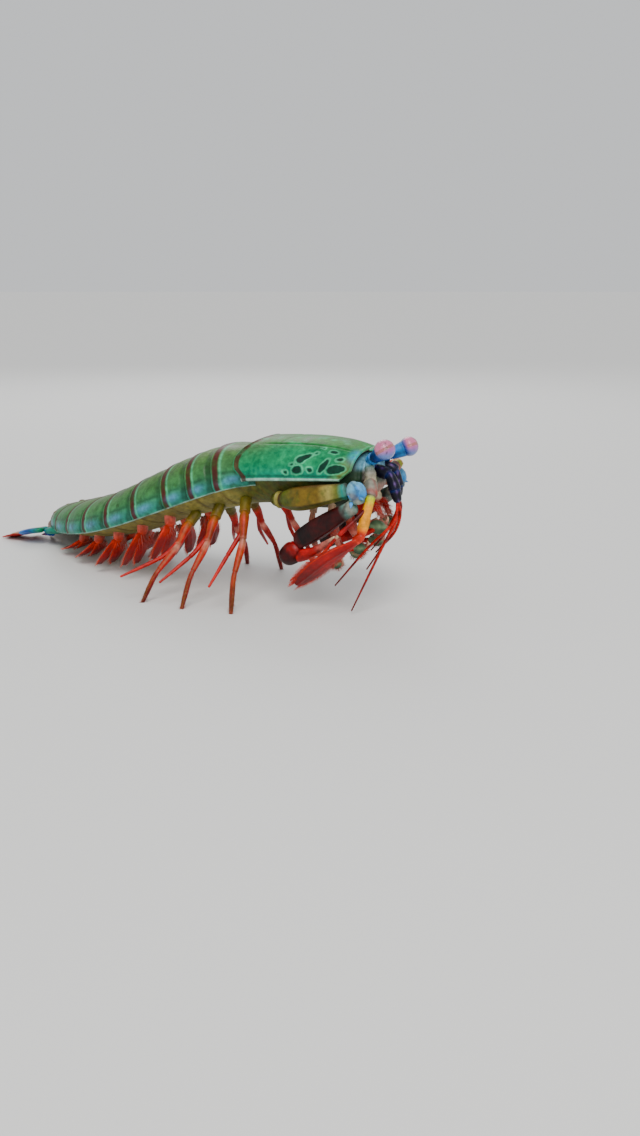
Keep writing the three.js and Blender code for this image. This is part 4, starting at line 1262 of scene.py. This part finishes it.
def make_maxilliped(hairs, side, y, number, root, elbow, hand, size):
    hip, knee, palm = beside([root, elbow, hand], y)
    reach = unit(palm - knee)
    shape = Shape()
    limb(
        shape, [hip, hip * 0.5 + knee * 0.5 + np.array([-1.2, 0.8 * y, 0]), knee, palm],
        [(0, 1.1), (0.3, 0.85), (0.5, 0.95), (0.68, 0.7), (1, 0.75)],
        gradient((0, CREAM), (0.4, PINK_RED), (0.6, PALE_PINK), (0.8, RED), (1, PINK_RED)),
        joints=(0, 0.2, 0.62, 0.84, 1), sides=26,
    )
    ball(
        shape, palm, (size, 1, size * 0.8), (0, 1, 0),
        lambda a, b, c: blend(
            blend(BULB_DARK, BULB_GREEN, 0.8 * hump(c, 0.1, 0.3) + 0.3 * np.abs(b)),
            PALE_PINK, 0.6 * smooth(np.hypot(a, c), 0.85, 1)), 40, 56,
        relief=lambda a, b, c: 0.12 * hump(c, 0, 0.2) + 0.05 * hump(np.hypot(a, c), 0.8, 0.1),
    )
    hook = palm + reach * size * 0.75
    spikes(shape, [hook], [hook + np.array([0.5, 0, 2])], 0.5, PALE_PINK, CREAM, 12, 9, reach * 0.5)
    name = f"maxilliped_{number}_{side}"
    shape.make(f"{name}_limb", limbs, name, "mouthpart")
    count = MAXILLIPED_BRISTLES
    angle = chance.uniform(-2.6, 0.9, count)
    thickness = chance.uniform(-0.5, 0.5, count)
    rim = np.stack([np.cos(angle) * size * 0.9, thickness, np.sin(angle) * size * 0.72], -1)
    ways = unit(rim * (1, 0.2, 1)) + chance.normal(0, 0.18, (count, 3)) + reach * 0.4
    bristles(hairs, palm + rim, ways, chance.uniform(0.7, 1.3, count), 0.045, RED, PALE_PINK,
             0.5 + rim[:, [0, 2]] / 9)


def make_maxillipeds():
    hairs = Shape()
    for side, y in SIDES:
        for row in MAXILLIPEDS:
            make_maxilliped(hairs, side, y, *row)
    hairs.make("maxilliped_brushes", hair, None, "mouthpart")


# Walking legs. Rows are (number, station of the hip, knee and the feet of the two sides, seen
# from the hip: forward and outward).
WALKING_LEGS = (
    (1, 33.5, (3, 7.5), {"right": (4, 15.5), "left": (6.5, 14.5)}),
    (2, 42.0, (0, 8), {"right": (-2, 17.5), "left": (1, 17)}),
    (3, 50.0, (-2, 8), {"right": (-7, 17.5), "left": (-4.5, 18)}),
)


def make_walking_leg(hairs, side, y, number, station, bend, feet):
    hip = body(station, 6.5 * y, -4.5)
    knee = hip + np.array([bend[0], bend[1] * y, -hip[2] * 0.4])
    toe = np.array([hip[0] + feet[side][0], hip[1] + feet[side][1] * y, -0.4])
    shin = knee * 0.5 + toe * 0.5 + np.array([0, 1.4 * y, 0.8])
    tones = gradient(
        (0, OLIVE), (0.14, OLIVE_TAN), (0.22, PINK_RED), (0.35, RED), (0.4, PALE_PINK),
        (0.48, PINK_RED), (0.7, RED), (0.9, DEEP_RED), (1, DEEP_RED),
    )
    shape = Shape()
    line = limb(
        shape, [hip, hip * 0.4 + knee * 0.6 + np.array([0, 0, 0.8]), knee, shin, toe],
        [(0, 1.6), (0.22, 1.25), (0.36, 0.9), (0.5, 0.95), (0.68, 0.65), (0.85, 0.68), (1, 0.45)],
        streak(tones, OLIVE_TAN, 0.5, 0.7, 0.3), joints=(0, 0.16, 0.38, 0.66, 1), neck=0.8,
        relief=ribs((0.08, 0.2, 0.2)),
    )
    limb(
        shape, [hip * 0.3 + knee * 0.7, knee + np.array([-2.5, 2.4 * y, -2]),
                toe + np.array([-5.5, 1.5 * y, 7])],
        [(0, 0.7), (0.5, 0.55), (1, 0.3)], gradient((0, RED), (1, PINK_RED)),
        joints=(0, 0.45, 1), sides=18,
    )
    flatten_feet(shape)
    name = f"walking_leg_{number}_{side}"
    shape.make(f"{name}_limb", limbs, name, "leg")
    t = 1 - 0.6 * chance.uniform(0.06, 1, LEG_BRISTLES) ** 1.4
    brush(
        hairs, line, (0, 0, 1), t, off=0.45, ahead=1.3, vary=(0.5, 1.1), radius=0.04,
        tone=RED, tip_tone=PALE_PINK,
    )


def make_walking_legs():
    hairs = Shape()
    for row in WALKING_LEGS:
        for side, y in SIDES:
            make_walking_leg(hairs, side, y, *row)
    lift_above_floor(hairs)
    hairs.make("walking_leg_brushes", hair, None, "leg")


BRISTLES_TO_FLOOR = 0.05


def flatten_feet(shape):
    """Feet end on the floor, on small flats."""
    for points in shape.points:
        points[:, 2] = np.maximum(points[:, 2], 0)


def lift_above_floor(shape):
    """Fine pieces stay clear of the floor."""
    for points in shape.points:
        points[:, 2] = np.maximum(points[:, 2], BRISTLES_TO_FLOOR)


# Swimming legs: two fringed paddles on a short stem, with a tuft of gill threads.
# A paddle's row is (how far it leans out, how far it reaches back, its half width).
PADDLES = ((-1.8, 7.2, 2.7), (3.4, 6.2, 2.9))
LONGEST_PADDLE_DROP = 8.5
PADDLE_ROOM = 1.6


def make_swimming_leg(side, y, number, station):
    depth = float(BODY_DEPTH(station))
    drop = min(body(station + 7, 0, 0)[2] - depth - PADDLE_ROOM, LONGEST_PADDLE_DROP)
    shape, fringe = Shape(), Shape()
    limb(
        shape, [body(station, 7.4 * y, -1.5), body(station + 1, 8.2 * y, -depth - 1.4)],
        [(0, 2.2, 1.4), (1, 1.9, 1)], gradient((0, PALE_PINK), (1, ORANGE)), wide=(0, 1, 0),
        sides=30,
    )
    for out, back, wide in PADDLES:
        path = body(
            station + 0.8 + np.array([0, back * 0.55, back]),
            y * (8.2 + out * np.array([0.2, 0.7, 1])),
            -depth + np.array([-0.6, -0.7 - drop * 0.55, 0.2 - drop]),
        )
        size = [(0, 1.3, 0.5), (0.3, wide * 0.8, 0.5), (0.65, wide, 0.42), (1, wide * 0.4, 0.3)]
        line = limb(
            shape, path, size,
            edged(gradient((0, ORANGE), (0.4, RED), (1, DEEP_RED)), ORANGE, 0.6, 0.85),
            wide=(0, 1, 0), sides=44, per_mm=5, relief=ribs((0.12, 0, 0.15, 0.1, 0.3)),
        )
        t = np.linspace(0.25, 0.99, PADDLE_BRISTLES)
        edge_bristles(
            fringe, line, size, (0, 1, 0), t, inset=0.92, out=1, ahead=0.4 + 1.2 * smooth(t, 0.6, 1),
            wander=0.08, length=1, vary=(0.9, 1.4), radius=0.045, tones=(ORANGE, PALE_PINK),
        )
    count = GILL_THREADS
    back = chance.uniform(0.6, 3.4, count)
    across = y * chance.uniform(5.6, 8.8, count)
    roots = body(station + back, across, -depth - chance.uniform(0.2, 1.0, count))
    ways = unit(body(station + 2.4, 6 * y, -drop) - body(station, 7.4 * y, 0))
    ways = ways + chance.normal(0, 0.25, (count, 3))
    place = chance.uniform(0.05, 0.95, (count, 2))
    bristles(fringe, roots, ways, drop * chance.uniform(0.3, 0.5, count), 0.16, PALE_PINK,
             PINK_RED, place, bend=(0, 0, -0.2), rings=7)
    lift_above_floor(shape)
    lift_above_floor(fringe)
    name = f"swimming_leg_{number}_{side}"
    shape.make(f"{name}_paddles", limbs, name, "swimmeret")
    fringe.make(f"{name}_fringe", hair, None, "swimmeret")


# Telson.
TELSON_LENGTH = TELSON_END - ABDOMEN_END
TELSON_HALF_WIDTH = table([(0, 9.8), (0.14, 11.4), (0.45, 11.6), (0.8, 9.4), (1, 7.4)])
TELSON_WIDEST = 11.6
TELSON_RINGS = 110
TELSON_SIDES = 260
TELSON_DOME = table([(0, 4.7), (0.35, 3.7), (0.7, 2.1), (1, 1.4)])
KEEL_WIDTH = 0.42
# Keels are (place across, height).
KEELS = ((0, 0.95), (3.1, 0.6), (6.2, 0.6), (9.4, 0.5))
# Large teeth are (place across, reach back, radius); small ones are (from, to, how many).
TELSON_TEETH = ((2.6, 3.4, 0.95), (6, 2.6, 0.9), (8.6, 1.4, 0.8))
SMALL_TEETH = ((0.5, 1.9, 3), (3.5, 5.1, 4), (6.9, 7.6, 2))


def make_telson():
    share = eased(TELSON_RINGS, 0.6)[:, None]
    turn = around(TELSON_SIDES)[None, :]
    station = ABDOMEN_END + 0.3 + (TELSON_LENGTH - 0.3) * share + 0 * turn
    cap = rounding((1 - share) * TELSON_LENGTH, 0.9, 0.01) * rounding(share * TELSON_LENGTH, 0.6, 0.01)
    half_width = TELSON_HALF_WIDTH(share)
    across = half_width * bent(np.cos(turn), 0.9)
    narrowing = half_width / TELSON_WIDEST
    keel = sum(height * hump(np.abs(across), place * narrowing, KEEL_WIDTH) for place, height in KEELS)
    knob = sum(height * hump(np.abs(across), place * narrowing, KEEL_WIDTH * 1.3) for place, height in KEELS)
    keel = keel * smooth(share, 0.04, 0.25) * (1 - 0.8 * smooth(share, 0.84, 0.9))
    keel = keel + 0.4 * knob * hump(share, 0.83, 0.035)
    rise = np.sin(turn)
    top = TELSON_DOME(share) * bent(np.maximum(rise, 0), 0.8) + keel * np.clip(rise * 3, 0, 1)
    up = np.where(rise > 0, top, rise * 1.3) * cap - 0.2
    points = body(station, across, up)
    points[..., 2] = np.maximum(points[..., 2], 0)
    base = layered(
        GREEN,
        (OLIVE, 0.6 * smooth(share, 0, 0.5)),
        (DEEP_GREEN, 0.6 * hump(share, 0.5, 0.2) * (rise > 0) * (1 - np.clip(keel * 2, 0, 1))),
        (YELLOW_GREEN, 0.45 * np.clip(keel * 1.4, 0, 1) * (rise > 0)),
        (BAND_RED, 0.85 * smooth(share, 0.84, 0.93)),
        (RED, 0.6 * smooth(np.abs(across) / half_width, 0.93, 1)),
        (CREAM * 0.8, 1.0 * (rise < -0.02)),
    )
    shape = Shape()
    shape.tube(points, base)
    for _, y in SIDES:
        bases, tips, radii = [], [], []
        for i, (across, reach, radius) in enumerate(TELSON_TEETH):
            bases.append(body(TELSON_END - 2.2 - 2.4 * i, (across + 0.1 * i) * y, 0))
            tips.append(body(TELSON_END + reach - 1.7 * i, (across + 0.5 * i) * y, -0.35))
            radii.append(radius)
        spikes(shape, bases, tips, radii, BAND_RED, CREAM, 18, 12)
        small = np.concatenate([np.linspace(*row) for row in SMALL_TEETH])
        bases = [body(TELSON_END - 0.8, across * y, -0.1) for across in small]
        tips = [body(TELSON_END + 0.55, across * y * 1.01, -0.25) for across in small]
        spikes(shape, bases, tips, 0.28, BAND_RED, CREAM, 10, 6)
    flatten_feet(shape)
    shape.make("telson_shell", shell, "telson", "body_shell")


# Tail fans.
def make_tail_fan(side, y):
    def at(station, across, up):
        return body(np.asarray(station, float), np.asarray(across, float) * y, up)

    out, back = at(130, 1, 0) - at(130, 0, 0), at(132.6, 0, 0) - at(130, 0, 0)
    base = Shape()
    limb(
        base, at([117.5, 121.5, 125.4], [9.5, 12.2, 13.6], [-1.6, -1.9, -2.1]),
        [(0, 1.9, 1.3), (0.5, 2.4, 1.3), (1, 1.9, 1.1)], gradient((0, GREEN), (0.7, TEAL), (1, BLUE)),
        wide=out, sides=36,
    )
    spikes(
        base, at(123.5, [12.6, 13.4], -2.9), at([137.5, 133.5], [10.6, 14], [-2.9, -3]),
        [0.9, 0.8], BLUE, RED, 20, 16,
    )
    outer, inner, fringe = Shape(), Shape(), Shape()
    limb(
        outer, at([124.2, 128.5, 133], [15.6, 18, 19.6], [-1.5, -1.6, -1.8]),
        [(0, 1.4, 0.9), (0.4, 2.4, 0.9), (0.9, 2.5, 0.8), (1, 1.9, 0.7)],
        gradient((0, GREEN), (0.5, BLUE), (0.9, SKY_BLUE), (1, RED)), wide=out, sides=44,
    )
    place = np.linspace(0, 1, 10)
    bases = at(126.6 + 6.4 * place, 18.4 + 2.9 * place, -1.7)
    tips = bases + back + out * (1.5 + 0.4 * place)[:, None]
    red = edged(gradient((0, RED), (0.5, RED), (1, DEEP_RED)), ORANGE, 0.5, 0.8)
    blades = (
        (outer, at([132.4, 137, 142.5], [19.4, 20.6, 21], [-1.8, -2, -2.3]),
         [(0, 1.4, 0.6), (0.35, 2.7, 0.5), (0.75, 2.7, 0.42), (1, 1, 0.3)], red,
         np.linspace(0.1, 0.995, 120), 2.4),
        (inner, at([125.3, 131, 139.5], [13.7, 15.4, 15.2], [-1.2, -1.4, -1.9]),
         [(0, 1, 0.6), (0.3, 1.9, 0.6), (0.65, 2.2, 0.5), (1, 0.8, 0.3)],
         gradient((0, TEAL), (0.4, BLUE), (0.75, RED), (1, DEEP_RED)),
         np.linspace(0.25, 0.995, 130), 2.2),
    )
    for shape, path, size, tone, t, longest in blades:
        line = limb(shape, path, size, tone, wide=out, sides=44, relief=ribs((0.12, 0, 0.15)))
        if shape is outer:
            spikes(shape, bases, tips, 0.42, RED, CREAM, 14, 9)
        edge_bristles(
            fringe, line, size, out, t, inset=0.93, out=1.1 - 0.6 * smooth(t, 0.7, 1), ahead=0.9,
            wander=0.05, length=longest * (0.45 + 0.55 * smooth(t, t[0], 0.7)), vary=(0.85, 1.08),
            radius=0.05, tones=(RED, ORANGE),
        )
    for part, shape, paint, slot in (
        ("base", base, shell, "body_shell"), ("outer", outer, limbs, "tail_fan"),
        ("inner", inner, limbs, "tail_fan"),
    ):
        flatten_feet(shape)
        name = f"tail_fan_{part}_{side}"
        shape.make(f"{name}_shell", paint, name, slot)
    lift_above_floor(fringe)
    fringe.make(f"tail_fan_{side}_fringe", hair, None, "tail_fan")


# Camera: the carapace's front edge lies at this pixel of the photo's 640 by 1136 frame.
# Angles are in degrees and the distance is in millimetres.
ANCHOR = (0.0, 0.0, 6.9)
ANCHOR_PIXEL = (371, 446)
FRAME_SIZE = (640, 1136)
FOCAL_PIXELS = 1087
SENSOR_HEIGHT = 24
CAMERA_TURN = 24.0
CAMERA_RISE = 8.0
CAMERA_DISTANCE = 273.0


def make_camera():
    turn, rise = math.radians(CAMERA_TURN), math.radians(CAMERA_RISE)
    back = Vector((math.sin(turn) * math.cos(rise), -math.cos(turn) * math.cos(rise), math.sin(rise)))
    right_share = (ANCHOR_PIXEL[0] - FRAME_SIZE[0] / 2) / FOCAL_PIXELS
    up_share = (FRAME_SIZE[1] / 2 - ANCHOR_PIXEL[1]) / FOCAL_PIXELS
    reach = math.sqrt(1 + right_share**2 + up_share**2)
    # The view leans so that the anchor lands on its pixel, which takes a few rounds to settle.
    forward = -back
    for _ in range(30):
        right = forward.cross(Vector((0, 0, 1))).normalized()
        up = right.cross(forward)
        forward = (-back * reach - right * right_share - up * up_share).normalized()
    data = bpy.data.cameras.new("camera")
    data.sensor_fit = "VERTICAL"
    data.sensor_height = SENSOR_HEIGHT
    data.lens = SENSOR_HEIGHT * FOCAL_PIXELS / FRAME_SIZE[1]
    data.clip_start = 5 * MM
    camera = bpy.data.objects.new("camera", data)
    camera.location = Vector(head(ANCHOR) * MM) + back * CAMERA_DISTANCE * MM
    camera.rotation_euler = forward.to_track_quat("-Z", "Y").to_euler()
    bpy.context.scene.collection.objects.link(camera)
    bpy.context.scene.camera = camera


# Floor, backdrop and light. The floor's paint is close to the backdrop, which hides its edge.
FLOOR_RADIUS = 30.0
FLOOR_PAINT = (0.688, 0.689, 0.68, 1)
BACKDROP = (0.93, 0.95, 0.97, 1)


def make_stage():
    turn = np.linspace(0, 2 * np.pi, 96, endpoint=False)
    points = [(FLOOR_RADIUS * math.cos(a), FLOOR_RADIUS * math.sin(a), 0) for a in turn]
    mesh = bpy.data.meshes.new("floor")
    mesh.from_pydata(points, [], [list(range(len(points)))])
    floor = bpy.data.objects.new("floor", mesh)
    paint = bpy.data.materials.new("floor_paint")
    paint.use_nodes = True
    shader = paint.node_tree.nodes["Principled BSDF"]
    shader.inputs["Base Color"].default_value = FLOOR_PAINT
    shader.inputs["Roughness"].default_value = 0.85
    mesh.materials.append(paint)
    bpy.context.scene.collection.objects.link(floor)


def add_lamp(name, kind, power, tint, towards, place=(0, 0, 0), **settings):
    data = bpy.data.lights.new(name, kind)
    data.energy = power
    data.color = tint
    for key, value in settings.items():
        setattr(data, key, value)
    lamp = bpy.data.objects.new(name, data)
    lamp.location = place
    lamp.rotation_euler = towards.to_track_quat("-Z", "Y").to_euler()
    bpy.context.scene.collection.objects.link(lamp)


def make_lights():
    add_lamp("key", "SUN", 1.5, (1, 0.97, 0.93), Vector((-0.25, 0.55, -1)), angle=math.radians(24))
    middle = Vector((0.02, 0, 0.02))
    for name, place, size, power, tint in (
        ("front", Vector((0.35, -0.4, 0.4)), 0.3, 1.6, (1, 0.98, 0.95)),
        ("back", Vector((-0.3, 0.5, 0.45)), 0.4, 1.4, (1, 1, 1)),
    ):
        add_lamp(name, "AREA", power, tint, middle - place, place, shape="DISK", size=size)
    world = bpy.data.worlds.new("studio")
    world.use_nodes = True
    background = world.node_tree.nodes["Background"]
    background.inputs["Color"].default_value = BACKDROP
    background.inputs["Strength"].default_value = 0.8
    bpy.context.scene.world = world


make_camera()
make_stage()
make_lights()
make_carapace()
make_rostrum()
make_skin()
make_body_plates()
for eye_row in EYES:
    make_eye(*eye_row)
for side_name, _ in SIDES:
    make_antennule(side_name)
for one_side in SIDES:
    make_antenna(*one_side)
make_mouth()
for one_side in SIDES:
    make_arm(*one_side)
make_maxillipeds()
make_walking_legs()
for leg, (start, stop) in enumerate(zip(ABDOMEN_STATIONS[:5], ABDOMEN_STATIONS[1:]), 1):
    for one_side in SIDES:
        make_swimming_leg(*one_side, leg, (start + stop) / 2 - 1)
make_telson()
for one_side in SIDES:
    make_tail_fan(*one_side)
